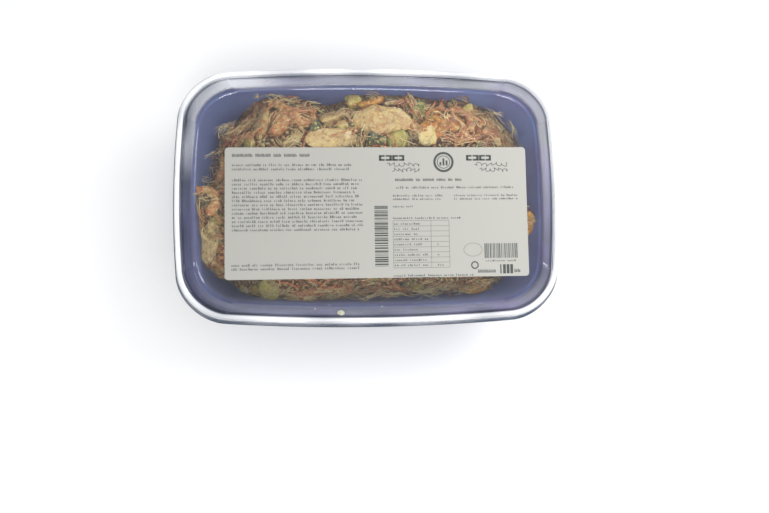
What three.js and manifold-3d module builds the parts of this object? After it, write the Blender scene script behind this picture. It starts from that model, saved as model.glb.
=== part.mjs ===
// A shrimp and mandarin salad in its closed catering tub, in millimetres, +Z up.
// The origin is the centre of the face that the tub stands on. X runs along the tub's long side.
// Four solids: the tub, its press-on clear lid, the paper label on the lid, and the heap of salad.

import * as THREE from "three";
import { mergeVertices } from "three/addons/utils/BufferGeometryUtils.js";
import Module from "manifold-3d";

const wasm = await Module();
wasm.setup();

// ---------- Driving dimensions ----------

const LENGTH = 286; // over the lid's edge, along X
const WIDTH = 193; // over the lid's edge, along Y
const HEIGHT = 72; // from the foot to the top of the lid's rim

const CORNER_RADIUS = 34; // of the plan at the lid's edge
const CORNER_SHRINK = 0.5; // how much smaller that radius is for each millimetre further in
const LONG_SIDE_BOW = 0.067; // how far a long side curves back at its ends, as a share of half the width
const SHORT_SIDE_BOW = 0.04; // the same for a short side, as a share of half the length

const TUB_WALL = 1.0;
const LID_WALL = 0.7;
const PANEL_Z = 65.5; // top of the lid's sunk panel, which carries the label
const LEDGE_Z = 68.1; // top of the flat ledge round the panel
const LUG_LIFT = 1.5; // how far the ledge rises at each corner, to hold a tub stacked on top

const LABEL_LENGTH = 221.5;
const LABEL_WIDTH = 96.2;
const LABEL_THICKNESS = 0.3;
const LABEL_CENTRE = [6, -12.7];
const LABEL_TURN = THREE.MathUtils.degToRad(0.3);
const LABEL_CORNER = 2.5;
const PAPER_GAP = 0.05;

const FIT_GAP = 0.35; // between the salad and the plastic round it
const SALAD_TOP = 59; // height of the heap's middle, before its bumps
const SALAD_PEAK = 62.5; // no bump of the heap is higher than this
const SALAD_SLOPE = 0.4; // share of the way in from the wall over which the heap rises to its full height
const SALAD_LOWEST = 9; // the core is nowhere lower than this, also in the corners
const PIECE_BURY = 1.0; // how far the core lies below the level that the pieces make up
const SMALLEST_EDGE = 0.05; // finer slivers than this are smoothed out of the joined heap

// How high the salad stands against the wall, every 15 degrees round the tub from +X towards +Y.
const WALL_HEIGHTS = [
  34, 28, 30, 26, 46, 50, 50, 37, 50, 20, 16, 24, 56, 47, 46, 12, 34, 32, 14, 9, 9, 9, 14, 48,
];

const COLOURS = {
  tub: 0x5e6784,
  lid: 0xdfe4ec,
  label: 0xcdcdc7,
  salad: 0xb08a5c,
};

// ---------- Plan rings and lofts ----------

// Where a ring's points lie on each corner arc, as shares of it. The close pairs at its ends bound a lug.
const CORNER_STATIONS = [0, 0.06, 0.28, 0.5, 0.72, 0.94, 1];
const LONG_SIDE_POINTS = 3;
const SHORT_SIDE_POINTS = 3;

// One ring of the plan, at an inset from the lid's edge. lift raises what a corner's close pairs bound.
function planRing(inset, z, lift = 0) {
  const a = LENGTH / 2 - inset;
  const b = WIDTH / 2 - inset;
  const radius = CORNER_RADIUS - CORNER_SHRINK * inset;
  const points = [];
  const add = (x, y, height) => {
    const bowedX = x * (1 - SHORT_SIDE_BOW * (y / b) ** 2);
    const bowedY = y * (1 - LONG_SIDE_BOW * (x / a) ** 2);
    points.push(new THREE.Vector3(bowedX, bowedY, height));
  };
  for (let quarter = 0; quarter < 4; quarter++) {
    const signX = quarter === 0 || quarter === 3 ? 1 : -1;
    const signY = quarter < 2 ? 1 : -1;
    for (const station of CORNER_STATIONS) {
      const angle = ((quarter + station) * Math.PI) / 2;
      const onLug = station > 0 && station < 1;
      const x = signX * (a - radius) + radius * Math.cos(angle);
      const y = signY * (b - radius) + radius * Math.sin(angle);
      add(x, y, z + (onLug ? lift : 0));
    }
    const alongX = quarter % 2 === 0;
    const count = alongX ? LONG_SIDE_POINTS : SHORT_SIDE_POINTS;
    for (let i = 1; i <= count; i++) {
      const share = 1 - (2 * i) / (count + 1);
      if (alongX) add(signX * (a - radius) * share, signY * b, z);
      else add(signX * a, signY * (b - radius) * share, z);
    }
  }
  return points;
}

// A closed solid through rings of as many points each. A fan to its middle closes each end ring.
function loft(rings) {
  const count = rings[0].length;
  const middle = (ring) => ring.reduce((sum, p) => sum.add(p), new THREE.Vector3()).divideScalar(count);
  const points = [...rings.flat(), middle(rings[0]), middle(rings.at(-1))];
  const firstMiddle = points.length - 2;
  const lastMiddle = points.length - 1;
  const faces = [];
  for (let i = 0; i < count; i++) {
    const next = (i + 1) % count;
    faces.push(firstMiddle, next, i);
    for (let r = 0; r < rings.length - 1; r++) {
      const low = r * count;
      const high = low + count;
      faces.push(low + i, low + next, high + next, low + i, high + next, high + i);
    }
    const last = (rings.length - 1) * count;
    faces.push(lastMiddle, last + i, last + next);
  }
  const geometry = new THREE.BufferGeometry().setFromPoints(points);
  geometry.setIndex(faces);
  return geometry;
}

// The profile moved sideways by a wall's thickness, with its corners mitred. A point is [inset, z, lift].
function offsetProfile(profile, distance) {
  const direction = (from, to) => {
    const length = Math.hypot(to[0] - from[0], to[1] - from[1]);
    return [(to[0] - from[0]) / length, (to[1] - from[1]) / length];
  };
  return profile.map((point, i) => {
    const into = i > 0 ? direction(profile[i - 1], point) : direction(point, profile[i + 1]);
    const out = i < profile.length - 1 ? direction(point, profile[i + 1]) : into;
    const normals = [into, out].map(([inset, z]) => [z, -inset]);
    const spread = 1 + normals[0][0] * normals[1][0] + normals[0][1] * normals[1][1];
    const move = distance / spread;
    const [inset, z, lift] = point;
    return [
      inset + (normals[0][0] + normals[1][0]) * move,
      z + (normals[0][1] + normals[1][1]) * move,
      lift,
    ];
  });
}

// A thin shell: out from the middle along its lower skin, and back along its upper one.
function shell(lower, upper) {
  return loft([...lower, ...upper.toReversed()].map(([inset, z, lift]) => planRing(inset, z, lift)));
}

// ---------- Tub, lid and label ----------

// The tub's outer skin: the raised middle of its base, the foot, the wall and the rim with a lip turned down.
const TUB_PROFILE = [
  [36, 1.2],
  [33, 0],
  [27.5, 0],
  [24.6, 1.4],
  [23, 4.5],
  [14.4, 58.5],
  [13, 60.5],
  [12.7, 64.6],
  [11.4, 65.8],
  [7.8, 65.8],
  [7, 65],
  [6.7, 62],
];

// The lid's upper skin from its panel, up to the ledge, over the rim and down the skirt to its flared edge.
const LID_PROFILE = [
  [15.6, PANEL_Z],
  [14.9, LEDGE_Z - 0.4, LUG_LIFT],
  [14.5, LEDGE_Z, LUG_LIFT],
  [8.4, LEDGE_Z, LUG_LIFT],
  [7.7, HEIGHT - 1.3],
  [6.6, HEIGHT - 0.2],
  [5.3, HEIGHT],
  [4.1, HEIGHT - 0.7],
  [3.2, HEIGHT - 3],
  [2.1, 60.6],
  [1.6, 60],
  [0, 59.6],
];

function labelOutline() {
  const shape = new THREE.Shape();
  const x = LABEL_LENGTH / 2;
  const y = LABEL_WIDTH / 2;
  const corner = LABEL_CORNER;
  shape.moveTo(-x + corner, -y);
  shape.lineTo(x - corner, -y);
  shape.absarc(x - corner, -y + corner, corner, -Math.PI / 2, 0);
  shape.absarc(x - corner, y - corner, corner, 0, Math.PI / 2);
  shape.absarc(-x + corner, y - corner, corner, Math.PI / 2, Math.PI);
  shape.absarc(-x + corner, -y + corner, corner, Math.PI, Math.PI * 1.5);
  return shape;
}

// ---------- Height of the salad ----------

// The tub's inner wall as half sizes at mid depth, and the power of the rounded form through them.
const WALL_HALF_LENGTH = 124;
const WALL_HALF_WIDTH = 76;
const WALL_POWER = 5;

// The heap's lumps as two crossing waves: height, wave length along X and along Y over a full turn.
const BROAD_LUMPS = { height: 1.6, x: 12.5, y: 10.5 };
const SMALL_LUMPS = { height: 0.9, x: 6.4, y: 8.1 };

function wallHeight(angle) {
  const turns = THREE.MathUtils.euclideanModulo(angle / (2 * Math.PI), 1);
  const step = turns * WALL_HEIGHTS.length;
  const low = Math.floor(step) % WALL_HEIGHTS.length;
  const high = (low + 1) % WALL_HEIGHTS.length;
  const ease = THREE.MathUtils.smoothstep(step % 1, 0, 1);
  return THREE.MathUtils.lerp(WALL_HEIGHTS[low], WALL_HEIGHTS[high], ease);
}

function lumps(x, y) {
  const broad = Math.sin(x / BROAD_LUMPS.x + 0.6) * Math.sin(y / BROAD_LUMPS.y + 1.1);
  const small = Math.sin(x / SMALL_LUMPS.x - y / SMALL_LUMPS.y);
  return BROAD_LUMPS.height * broad + SMALL_LUMPS.height * small;
}

// The level of the salad at a point of the plan: low in the corners, full in the middle, and lumpy.
function saladLevel(x, y) {
  const u = x / WALL_HALF_LENGTH;
  const v = y / WALL_HALF_WIDTH;
  const outwards = Math.pow(Math.abs(u) ** WALL_POWER + Math.abs(v) ** WALL_POWER, 1 / WALL_POWER);
  const edge = wallHeight(Math.atan2(v, u));
  const inwards = THREE.MathUtils.clamp((1 - outwards) / SALAD_SLOPE, 0, 1);
  const rise = Math.sin((inwards * Math.PI) / 2);
  return Math.min(SALAD_PEAK, THREE.MathUtils.lerp(edge, SALAD_TOP, rise) + lumps(x, y));
}

// ---------- Shapes of the pieces ----------

// A solid swept along a flat arc. sectionAt gives the ring's [across, up] points at a share of the way along.
function sweepArc(length, turn, steps, sectionAt) {
  const radius = length / turn;
  const rings = [];
  for (let i = 0; i <= steps; i++) {
    const share = i / steps;
    const angle = turn * (share - 0.5);
    const [sin, cos] = [Math.sin(angle), Math.cos(angle)];
    rings.push(
      sectionAt(share).map(
        ([across, up]) => new THREE.Vector3((radius - across) * sin, radius - (radius - across) * cos, up),
      ),
    );
  }
  return loft(rings);
}

const STRAIGHT = 0.001; // a turn too small to see
const bulge = (share, power) => Math.pow(1 - Math.abs(2 * share - 1) ** power, 1 / power);

function oval(across, up, sides, startAngle = 0) {
  return Array.from({ length: sides }, (_, i) => {
    const angle = startAngle + (i / sides) * 2 * Math.PI;
    return [across * Math.cos(angle), up * Math.sin(angle)];
  });
}

const SHAPES = {
  // A peeled shrimp: a curled body that thins towards a flat tail.
  shrimp(size) {
    return sweepArc(52 * size, 3.7, 9, (share) => {
      if (share > 0.88) return oval(size * (2.2 + 34 * (share - 0.88)), 1.3 * size, 6);
      const girth = size * (8.4 - 6.2 * share ** 1.4) * (share === 0 ? 0.55 : 1);
      return oval(girth, girth * 0.92, 6);
    });
  },
  // A thick slice of white fish or of a large shrimp's back.
  slab(size) {
    return sweepArc(40 * size, 0.5, 6, (share) => {
      const round = 0.25 + 0.75 * bulge(share, 2.6);
      return oval(9.5 * size * round, 5.5 * size * round, 8);
    });
  },
  // A mandarin segment: a crescent with a thin inner edge.
  mandarin(size) {
    return sweepArc(27 * size, 1.7, 6, (share) => {
      const round = 0.16 + 0.84 * bulge(share, 2.1);
      return [
        [-5.5, 0],
        [-4.2, -4.1],
        [0, -4.8],
        [6.2, -0.6],
        [6.2, 0.6],
        [0, 4.8],
        [-4.2, 4.1],
      ].map(([across, up]) => [across * size * round, up * size * round]);
    });
  },
  // A block of crab stick, celery, melon or pepper.
  dice(size) {
    return sweepArc(11 * size, STRAIGHT, 3, (share) => {
      const side = size * (share === 0 || share === 1 ? 4.3 : 5.2) * Math.SQRT2;
      return oval(side, side * 0.86, 4, Math.PI / 4);
    });
  },
  // A bean or a pea.
  bean(size) {
    return sweepArc(12 * size, 0.6, 4, (share) => {
      const round = 0.3 + 0.7 * bulge(share, 2);
      return oval(4.4 * size * round, 4.1 * size * round, 6);
    });
  },
  // A shred of carrot or pepper, square in section.
  strip(size) {
    return sweepArc(32 * size, 1.3, 6, (share) => {
      const thin = 0.6 + 0.4 * bulge(share, 3);
      return oval(2.3 * thin, 1.6 * thin, 4, Math.PI / 4);
    });
  },
  // A thin shred of white cabbage.
  strand(size) {
    return sweepArc(38 * size, 1.9, 7, (share) => {
      const thin = 0.5 + 0.5 * bulge(share, 3);
      return oval(1.5 * thin, 1.1 * thin, 3);
    });
  },
  // A herb leaf: thin, pointed and wavy.
  leaf(size) {
    return sweepArc(17 * size, 0.5, 6, (share) => {
      const half = size * (1 + 4.6 * Math.sin(Math.PI * Math.min(1, 0.08 + share * 0.9)));
      const wave = 0.8 * Math.sin(share * 9);
      return [
        [-half, -0.5 + wave],
        [0, -0.2 + wave],
        [half, -0.5 - wave],
        [half, 0.4 - wave],
        [0, 1.1 + wave],
        [-half, 0.4 + wave],
      ];
    });
  },
};

// ---------- Where the pieces lie ----------

// The large pieces that can be told apart beside the label: kind, [x, y], turn in degrees, size and lift.
const CHOSEN = [
  ["shrimp", [-83, 60], 95, 0.95, 2],
  ["strip", [-50, 68], 10, 1.1, 3],
  ["strip", [-62, 57], 35, 0.9, 3],
  ["leaf", [-42, 57], 70, 0.9, 4],
  ["slab", [-23, 69], 20, 0.8, 2],
  ["dice", [-13, 75], 40, 0.95, 3],
  ["mandarin", [0, 74], 15, 0.75, 3],
  ["slab", [10, 63], -8, 1.15, 3],
  ["slab", [-28, 46], 4, 1.05, 3],
  ["leaf", [21, 73], 10, 1.0, 4],
  ["leaf", [36, 68], 85, 0.95, 4],
  ["strip", [45, 71], 45, 0.9, 4],
  ["strip", [47, 70], -50, 0.8, 4],
  ["mandarin", [56, 57], -60, 1.05, 3],
  ["dice", [40, 48], 10, 1.1, 3],
  ["bean", [17, 47], 20, 1.4, 3],
  ["bean", [-22, 56], 0, 0.9, 3],
  ["bean", [71, 69], 0, 1.0, 2],
  ["dice", [83, 70], 20, 0.75, 2],
  ["leaf", [85, 54], 100, 0.9, 3],
  ["strip", [75, 50], -10, 1.0, 4],
  ["strip", [93, 57], -30, 1.0, 3],
  ["bean", [99, 46], 30, 0.9, 3],
  ["strand", [-101, 64], 60, 1.0, 2],
  ["strand", [-96, 70], 75, 1.0, 2],
  ["strand", [-105, 56], 50, 1.1, 2],
  ["strand", [-72, 74], 15, 1.0, 4],
  ["shrimp", [-116, -4], 100, 0.85, 0],
  ["slab", [-117, -37], 75, 0.75, 1],
  ["strip", [-121, -54], 60, 0.8, 1],
  ["bean", [-86, -67], 10, 1.5, 0],
  ["slab", [-40, -72], 5, 0.9, 0],
  ["strip", [-52, -66], 5, 1.0, 3],
  ["mandarin", [-17, -66], 170, 0.9, 2],
  ["leaf", [2, -67], 40, 0.8, 3],
  ["strip", [16, -65], 15, 1.0, 2],
  ["mandarin", [74, -64], 8, 0.9, 1],
  ["dice", [121, -20], 60, 1.0, 1],
];

// The rest is spread over the heap in turn, in the order of this mix.
const MIX = [
  ...["strip", "strand", "dice", "strip", "mandarin", "strand", "bean"],
  ...["strip", "shrimp", "strand", "leaf", "strip", "strand"],
];
const MIX_COUNT = 56;
const GOLDEN_ANGLE = Math.PI * (3 - Math.sqrt(5));
const CHOSEN_CLEARANCE = 13;

// The same draws every time, from 0 up to 1.
function seededRandom(seed) {
  let state = seed;
  return () => {
    state = (state * 1664525 + 1013904223) % 4294967296;
    return state / 4294967296;
  };
}

// The pieces of the mix, evenly spread, smaller near the wall and left out where a chosen piece lies.
function spreadPieces() {
  const random = seededRandom(11);
  const pieces = [];
  for (let i = 0; i < MIX_COUNT; i++) {
    const outwards = Math.sqrt((i + 0.5) / MIX_COUNT) * 0.93;
    const angle = i * GOLDEN_ANGLE;
    const x = WALL_HALF_LENGTH * outwards * Math.cos(angle) * 1.04;
    const y = WALL_HALF_WIDTH * outwards * Math.sin(angle) * 1.04;
    const turn = random() * 360;
    const size = 0.8 + 0.35 * random();
    const lift = 1 + 2 * random();
    const taken = CHOSEN.some(([, at]) => Math.hypot(at[0] - x, at[1] - y) < CHOSEN_CLEARANCE);
    if (!taken) pieces.push([MIX[pieces.length % MIX.length], [x, y], turn, size, lift]);
  }
  return pieces;
}

// ---------- Joining the salad ----------

function toManifold(geometry) {
  const bare = geometry.clone();
  bare.deleteAttribute("normal");
  bare.deleteAttribute("uv");
  const merged = mergeVertices(bare, 1e-4);
  return new wasm.Manifold(
    new wasm.Mesh({
      numProp: 3,
      vertProperties: merged.getAttribute("position").array,
      triVerts: new Uint32Array(merged.index.array),
    }),
  );
}

function toGeometry(manifold) {
  const mesh = manifold.getMesh();
  const geometry = new THREE.BufferGeometry();
  geometry.setAttribute("position", new THREE.BufferAttribute(new Float32Array(mesh.vertProperties), 3));
  geometry.setIndex(new THREE.BufferAttribute(new Uint32Array(mesh.triVerts), 1));
  geometry.computeVertexNormals();
  return geometry;
}

// Turns a piece, lays it on the salad's slope and sets it into place.
function layPiece([kind, [x, y], turn, size, lift]) {
  const step = 3;
  const slopeX = (saladLevel(x + step, y) - saladLevel(x - step, y)) / (2 * step);
  const slopeY = (saladLevel(x, y + step) - saladLevel(x, y - step)) / (2 * step);
  const upright = new THREE.Vector3(0, 0, 1);
  const normal = new THREE.Vector3(-slopeX, -slopeY, 1).normalize();
  const lean = new THREE.Quaternion().setFromUnitVectors(upright, normal);
  const spin = new THREE.Quaternion().setFromAxisAngle(upright, THREE.MathUtils.degToRad(turn));
  const place = new THREE.Vector3(x, y, saladLevel(x, y) - PIECE_BURY + lift);
  const matrix = new THREE.Matrix4().compose(place, lean.multiply(spin), new THREE.Vector3(1, 1, 1));
  return SHAPES[kind](size).applyMatrix4(matrix);
}

// The tub's inner skin, with the fit gap kept all round, as [inset, z] from the floor up.
const ROOM_PROFILE = offsetProfile(TUB_PROFILE.slice(0, 9), TUB_WALL + FIT_GAP);
const ROOM_TOP = PANEL_Z - LID_WALL - FIT_GAP;
const WALL_FOOT = 7; // height at which the straight wall has begun
const MID_DEPTH = 40; // height at which the wall's place stands for all of it
const TOP_RINGS = [0.93, 0.85, 0.75, 0.63, 0.5, 0.36, 0.2]; // of the core's top, as shares of its rim

function insetAt(z) {
  const above = ROOM_PROFILE.findIndex((point) => point[1] > z);
  const [low, high] = [ROOM_PROFILE[above - 1], ROOM_PROFILE[above]];
  return THREE.MathUtils.lerp(low[0], high[0], (z - low[1]) / (high[1] - low[1]));
}

// All that the salad may fill: the tub's inside up to just under the lid.
function room() {
  const insets = ROOM_PROFILE.filter((point) => point[1] < ROOM_TOP);
  return loft([...insets, [insetAt(ROOM_TOP), ROOM_TOP]].map(([inset, z]) => planRing(inset, z)));
}

// The bare heap under the pieces: its floor, its side up to the level there, and its top in rings inwards.
function core() {
  const coreLevel = (x, y) => Math.max(saladLevel(x, y) - PIECE_BURY, SALAD_LOWEST);
  const floor = ROOM_PROFILE.filter((point) => point[1] < WALL_FOOT).map(([inset, z]) => planRing(inset, z));
  const wallRing = (share) =>
    planRing(insetAt(MID_DEPTH), MID_DEPTH).map((point, i) => {
      const z = THREE.MathUtils.lerp(WALL_FOOT, coreLevel(point.x, point.y), share);
      return planRing(insetAt(z), z)[i];
    });
  const rim = wallRing(1);
  const tops = TOP_RINGS.map((share) =>
    rim.map((point) => {
      const [x, y] = [point.x * share, point.y * share];
      return new THREE.Vector3(x, y, coreLevel(x, y));
    }),
  );
  return loft([...floor, wallRing(0.5), rim, ...tops]);
}

// One solid of the core and its pieces, cut to the room. Sealed hollows are filled and loose scraps dropped.
function salad() {
  const pieces = [...CHOSEN, ...spreadPieces()].map((piece) => toManifold(layPiece(piece)));
  const joined = wasm.Manifold.union([toManifold(core()), ...pieces]);
  const inside = joined.intersect(toManifold(room()));
  const bodies = inside.decompose().sort((one, other) => other.volume() - one.volume());
  return toGeometry(bodies[0].simplify(SMALLEST_EDGE));
}

// ---------- The assembly ----------

const FINISH = {
  tub: { roughness: 0.35, transparent: true, opacity: 0.85 },
  lid: { roughness: 0.08, transparent: true, opacity: 0.3 },
  label: { roughness: 0.6 },
  salad: { roughness: 0.4 },
};

function part(name, geometry) {
  const material = new THREE.MeshStandardMaterial({ color: COLOURS[name], metalness: 0, ...FINISH[name] });
  const mesh = new THREE.Mesh(geometry, material);
  mesh.name = name;
  return mesh;
}

const paper = { depth: LABEL_THICKNESS, bevelEnabled: false, curveSegments: 3 };
const label = part("label", new THREE.ExtrudeGeometry(labelOutline(), paper));
label.position.set(...LABEL_CENTRE, PANEL_Z + PAPER_GAP);
label.rotation.z = LABEL_TURN;

const group = new THREE.Group();
group.add(part("tub", shell(TUB_PROFILE, offsetProfile(TUB_PROFILE, TUB_WALL))));
group.add(part("lid", shell(offsetProfile(LID_PROFILE, -LID_WALL), LID_PROFILE)));
group.add(label);
group.add(part("salad", salad()));

export default group;
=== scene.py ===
"""A shrimp and mandarin salad in its closed catering tub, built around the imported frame."""

import functools
import math

import bpy
import numpy as np
from mathutils import Matrix, Vector


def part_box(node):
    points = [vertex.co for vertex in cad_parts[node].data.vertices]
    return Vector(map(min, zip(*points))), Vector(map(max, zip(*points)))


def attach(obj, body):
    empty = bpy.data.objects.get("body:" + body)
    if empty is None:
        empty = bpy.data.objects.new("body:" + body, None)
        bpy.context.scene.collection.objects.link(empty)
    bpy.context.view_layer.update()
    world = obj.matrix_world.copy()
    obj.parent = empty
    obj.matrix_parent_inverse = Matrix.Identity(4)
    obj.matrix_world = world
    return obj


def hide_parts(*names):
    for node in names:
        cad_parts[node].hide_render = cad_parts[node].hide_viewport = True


bl_info = {
    "name": "Shrimp and mandarin salad tub",
    "version": (1, 0, 0),
    "blender": (4, 5, 0),
    "location": "3D View > Sidebar > Salad tub",
    "description": "Makes a closed catering tub of shrimp and mandarin salad",
    "category": "Add Mesh",
}

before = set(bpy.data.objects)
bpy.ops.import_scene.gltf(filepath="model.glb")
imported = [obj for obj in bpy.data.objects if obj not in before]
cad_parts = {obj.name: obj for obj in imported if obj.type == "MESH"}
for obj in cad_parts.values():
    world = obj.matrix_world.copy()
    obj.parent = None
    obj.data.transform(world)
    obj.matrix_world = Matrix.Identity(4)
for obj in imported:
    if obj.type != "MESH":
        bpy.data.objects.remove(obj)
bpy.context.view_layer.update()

# ---------- Sizes, in millimetres unless a name says otherwise ----------

MM = 0.001
BODY = "root"
LID_LOW, LID_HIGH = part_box("lid")
LENGTH, WIDTH, HEIGHT = (LID_HIGH.x - LID_LOW.x) / MM, (LID_HIGH.y - LID_LOW.y) / MM, LID_HIGH.z / MM
LABEL_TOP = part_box("label")[1].z / MM
CORNER_RADIUS = 34
CORNER_SHRINK = 0.5  # how much smaller the plan's corner radius is for each millimetre further in
LEAST_RADIUS = 3
LONG_SIDE_BOW = 0.067  # how far a long side curves back at its ends, as a share of half the width
SHORT_SIDE_BOW = 0.04
PANEL_Z = HEIGHT - 6.5
LEDGE_Z = HEIGHT - 3.9
LUG_LIFT = 1.5
LUG_RAMP = 0.045  # of a corner's arc
FLOOR_TOP = 2.4
SALAD_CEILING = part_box("salad")[1].z / MM - 0.05
WALL_BITE = 0.15  # how far the salad's core reaches into the tub's wall, so that no air gap shows
WALL_CLEARANCE = 0.25
FILL_BITE = 0.3  # how deep the core lies under the level of the pieces

# The tub's outer skin, as inset from the lid's edge and height.
TUB_PROFILE = [
    (36, 1.2), (33, 0), (27.5, 0), (24.6, 1.4), (23, 4.5), (14.4, 58.5),
    (13, 60.5), (12.7, 64.6), (11.4, 65.8), (7.8, 65.8), (7, 65), (6.7, 62),
]  # fmt: skip
# The lid's upper skin, as inset, height and share of the lug's lift.
LID_PROFILE = [
    (17.4, PANEL_Z, 0), (15.3, LEDGE_Z - 0.6, 1), (14.5, LEDGE_Z, 1), (8.4, LEDGE_Z, 1),
    (7.7, HEIGHT - 1.3, 0), (6.6, HEIGHT - 0.2, 0), (5.3, HEIGHT, 0), (4.1, HEIGHT - 0.7, 0),
    (3.2, HEIGHT - 3, 0), (2.1, 60.6, 0), (1.6, 60, 0), (0, 59.6, 0),
]  # fmt: skip

# How grey the lid is painted at an inset from its edge: painted shade for the dark lines along its cut flange
# and the steps beside its crest. Then how white it is painted there, a painted glare, and where its ledge
# lies.
LID_SHADES = [
    (0, 0.85), (1.9, 0.85), (2.6, 0.12), (7.1, 0.05), (7.7, 0.55), (8.8, 0.55), (9.6, 0.12), (14.4, 0),
]  # fmt: skip
LID_MILKY = [(2.4, 0), (4.0, 0.55), (5.0, 0.85), (6.6, 0.85), (7.3, 0)]
LID_LEDGE = [(7.7, 0), (9, 1), (14, 1), (15.5, 0)]
# Glare on the ledge: its strength, its direction in the plan, where it starts and over how far it grows.
LEDGE_GLARES = [(0.12, 0.25, 1, -20, 110), (0.03, 0, -1, 60, 15), (0.25, -1, 1, 140, 25)]

# How high the salad stands against the wall, every 15 degrees round the tub from +X towards +Y.
WALL_HEIGHTS = [
    *(34, 28, 30, 26, 46, 50, 50, 37, 50, 20, 16, 24),
    *(56, 47, 46, 12, 34, 32, 14, 9, 9, 9, 14, 48),
]
WALL_HALF = (124, 76)  # the inner wall's half sizes at mid depth
WALL_POWER = 5
SALAD_TOP = 59
SALAD_PEAK = 62.5
SALAD_SLOPE = 0.4
SALAD_LOWEST = 9
SLOPE_STEP = 3.0
PROUD = 2.2  # above the level of the heap, from where pieces are in full light
# Points lower than PROUD above the heap's level get painted shade, which is full SUNK_DEPTH further down.
SUNK_DEPTH = 5
LABEL_CENTRE = (6, -12.7)
LABEL_TURN = math.radians(0.3)
LABEL_SIZE = (221.5, 96.2)

# The camera of the photo, in metres, and its lens for a sensor of 36 mm.
CAMERA_AT = (-0.0183, -0.0747, 0.5009)
CAMERA_LOOKS = (0.0650, 0.0674, -0.9956)
CAMERA_UP = (0.0075, 0.9977, 0.0680)
CAMERA_LENS = 28.09


def linear(code):
    """An sRGB colour written as #RRGGBB, as linear red, green, blue and alpha."""
    shares = [int(code[i : i + 2], 16) / 255 for i in (1, 3, 5)]
    return (*[s / 12.92 if s <= 0.04045 else ((s + 0.055) / 1.055) ** 2.4 for s in shares], 1.0)


# ---------- Settings that a user would change ----------


def colour_property(name, code, description):
    return bpy.props.FloatVectorProperty(
        name=name, description=description, subtype="COLOR", size=4, min=0, max=1, default=linear(code)
    )


def length_property(name, millimetres, description):
    size = millimetres * MM
    return bpy.props.FloatProperty(name=name, description=description, unit="LENGTH", default=size)


def power_property(name, watts):
    description = f"Power of the {name.lower()}"
    return bpy.props.FloatProperty(name=name, description=description, unit="POWER", default=watts)


class PackSettings(bpy.types.PropertyGroup):
    """Walls and colours of the tub, the lid and the label."""

    tub_wall: length_property("Tub wall", 1.0, "Thickness of the tub's wall")
    lid_wall: length_property("Lid wall", 0.7, "Thickness of the lid's sheet")
    tub_deep: colour_property("Tub, low down", "#4C5E96", "Colour of the tub's wall near its base")
    tub_high: colour_property("Tub, high up", "#7B8BB8", "Colour of the tub's wall under its rim")
    tub_violet: colour_property("Tub, violet cast", "#7C72A0", "Cast that clouds the tub's colour")
    # Painted shade: the tub's wall is darker towards its left end.
    tub_shaded: colour_property("Tub, shaded end", "#424E78", "Cast of the tub towards its left end")
    tub_rim: colour_property("Tub rim", "#5C5F68", "Colour of the tub's rim")
    paper: colour_property("Label paper", "#B5B4AD", "Colour of the label's paper")
    ink: colour_property("Label ink", "#454A47", "Colour of the label's print")
    thin_ink: colour_property("Small print", "#5F6361", "Colour of the label's small print")


class SaladSettings(bpy.types.PropertyGroup):
    """Colours of the salad and how much of it is spread."""

    seed: bpy.props.IntProperty(name="Seed", description="Start of every random draw", default=7)
    shred_spacing: length_property("Shred spacing", 5.2, "Least distance between two shreds of one kind")
    fleck_spacing: length_property("Fleck spacing", 3.0, "Least distance between two flecks of one kind")
    flesh: colour_property("Prawn flesh", "#AE9158", "Colour of cooked prawn between its bands")
    band: colour_property("Prawn bands", "#A8663A", "Colour of cooked prawn on its bands")
    mandarin: colour_property("Mandarin", "#B07422", "Colour of a mandarin segment")
    carrot: colour_property("Carrot", "#B5663C", "Colour of the carrot shreds")
    cabbage: colour_property("Cabbage", "#C4A572", "Colour of the cabbage strands")
    leaf: colour_property("Leaf", "#565D2B", "Colour of the herb leaves")
    dressing: colour_property("Dressing", "#C6AC66", "Colour of the creamy dressing")


class StageSettings(bpy.types.PropertyGroup):
    """Floor and light round the tub."""

    floor: colour_property("Floor", "#F7F7F6", "Colour of the floor")
    sky: bpy.props.FloatProperty(name="Sky", description="Strength of the even light", default=0.78)
    key: power_property("Key light", 2.0)
    fill: power_property("Fill light", 2.0)
    top: power_property("Top light", 2.0)


# ---------- Nodes and meshes ----------


def add_node(tree, kind, inputs=None, stops=(), **settings):
    """A new node with its settings.

    An input takes a value, a socket, or a node, of which the first live output is meant."""
    node = tree.nodes.new(kind)
    for name, value in settings.items():
        setattr(node, name, value)
    while stops and len(node.color_ramp.elements) < len(stops):
        node.color_ramp.elements.new(0.5)
    for i, (position, colour) in enumerate(stops):
        element = node.color_ramp.elements[i]
        element.position, element.color = position, colour
    for name, value in (inputs or {}).items():
        if isinstance(value, bpy.types.Node):
            value = next(socket for socket in value.outputs if socket.enabled)
        if isinstance(value, bpy.types.NodeSocket):
            tree.links.new(value, node.inputs[name])
        else:
            node.inputs[name].default_value = value
    return node


def new_material(name):
    """An empty material, as a function that adds its nodes and one that ends it with a shader."""
    material = bpy.data.materials.new(name)
    material.use_nodes = True
    material.node_tree.nodes.clear()
    node = functools.partial(add_node, material.node_tree)

    def finish(shader):
        node("ShaderNodeOutputMaterial", {"Surface": shader})
        return material

    return node, finish


def per_metre(millimetres):
    """The texture scale whose pattern repeats about every so many millimetres."""
    return 1 / (millimetres * MM)


def scaled(colour, share):
    """A colour made darker or lighter."""
    return (*[min(1, c * share) for c in colour[:3]], 1.0)


def joined(parts):
    """Points and faces of several meshes as one."""
    starts = np.cumsum([0] + [len(points) for points, _ in parts]).tolist()
    faces = [tuple(n + start for n in face) for start, (_, some) in zip(starts, parts) for face in some]
    return np.vstack([points for points, _ in parts]), faces


def points_of(mesh):
    """A mesh's points in millimetres."""
    points = np.empty(len(mesh.vertices) * 3)
    mesh.vertices.foreach_get("co", points)
    return points.reshape(-1, 3) / MM


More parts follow.
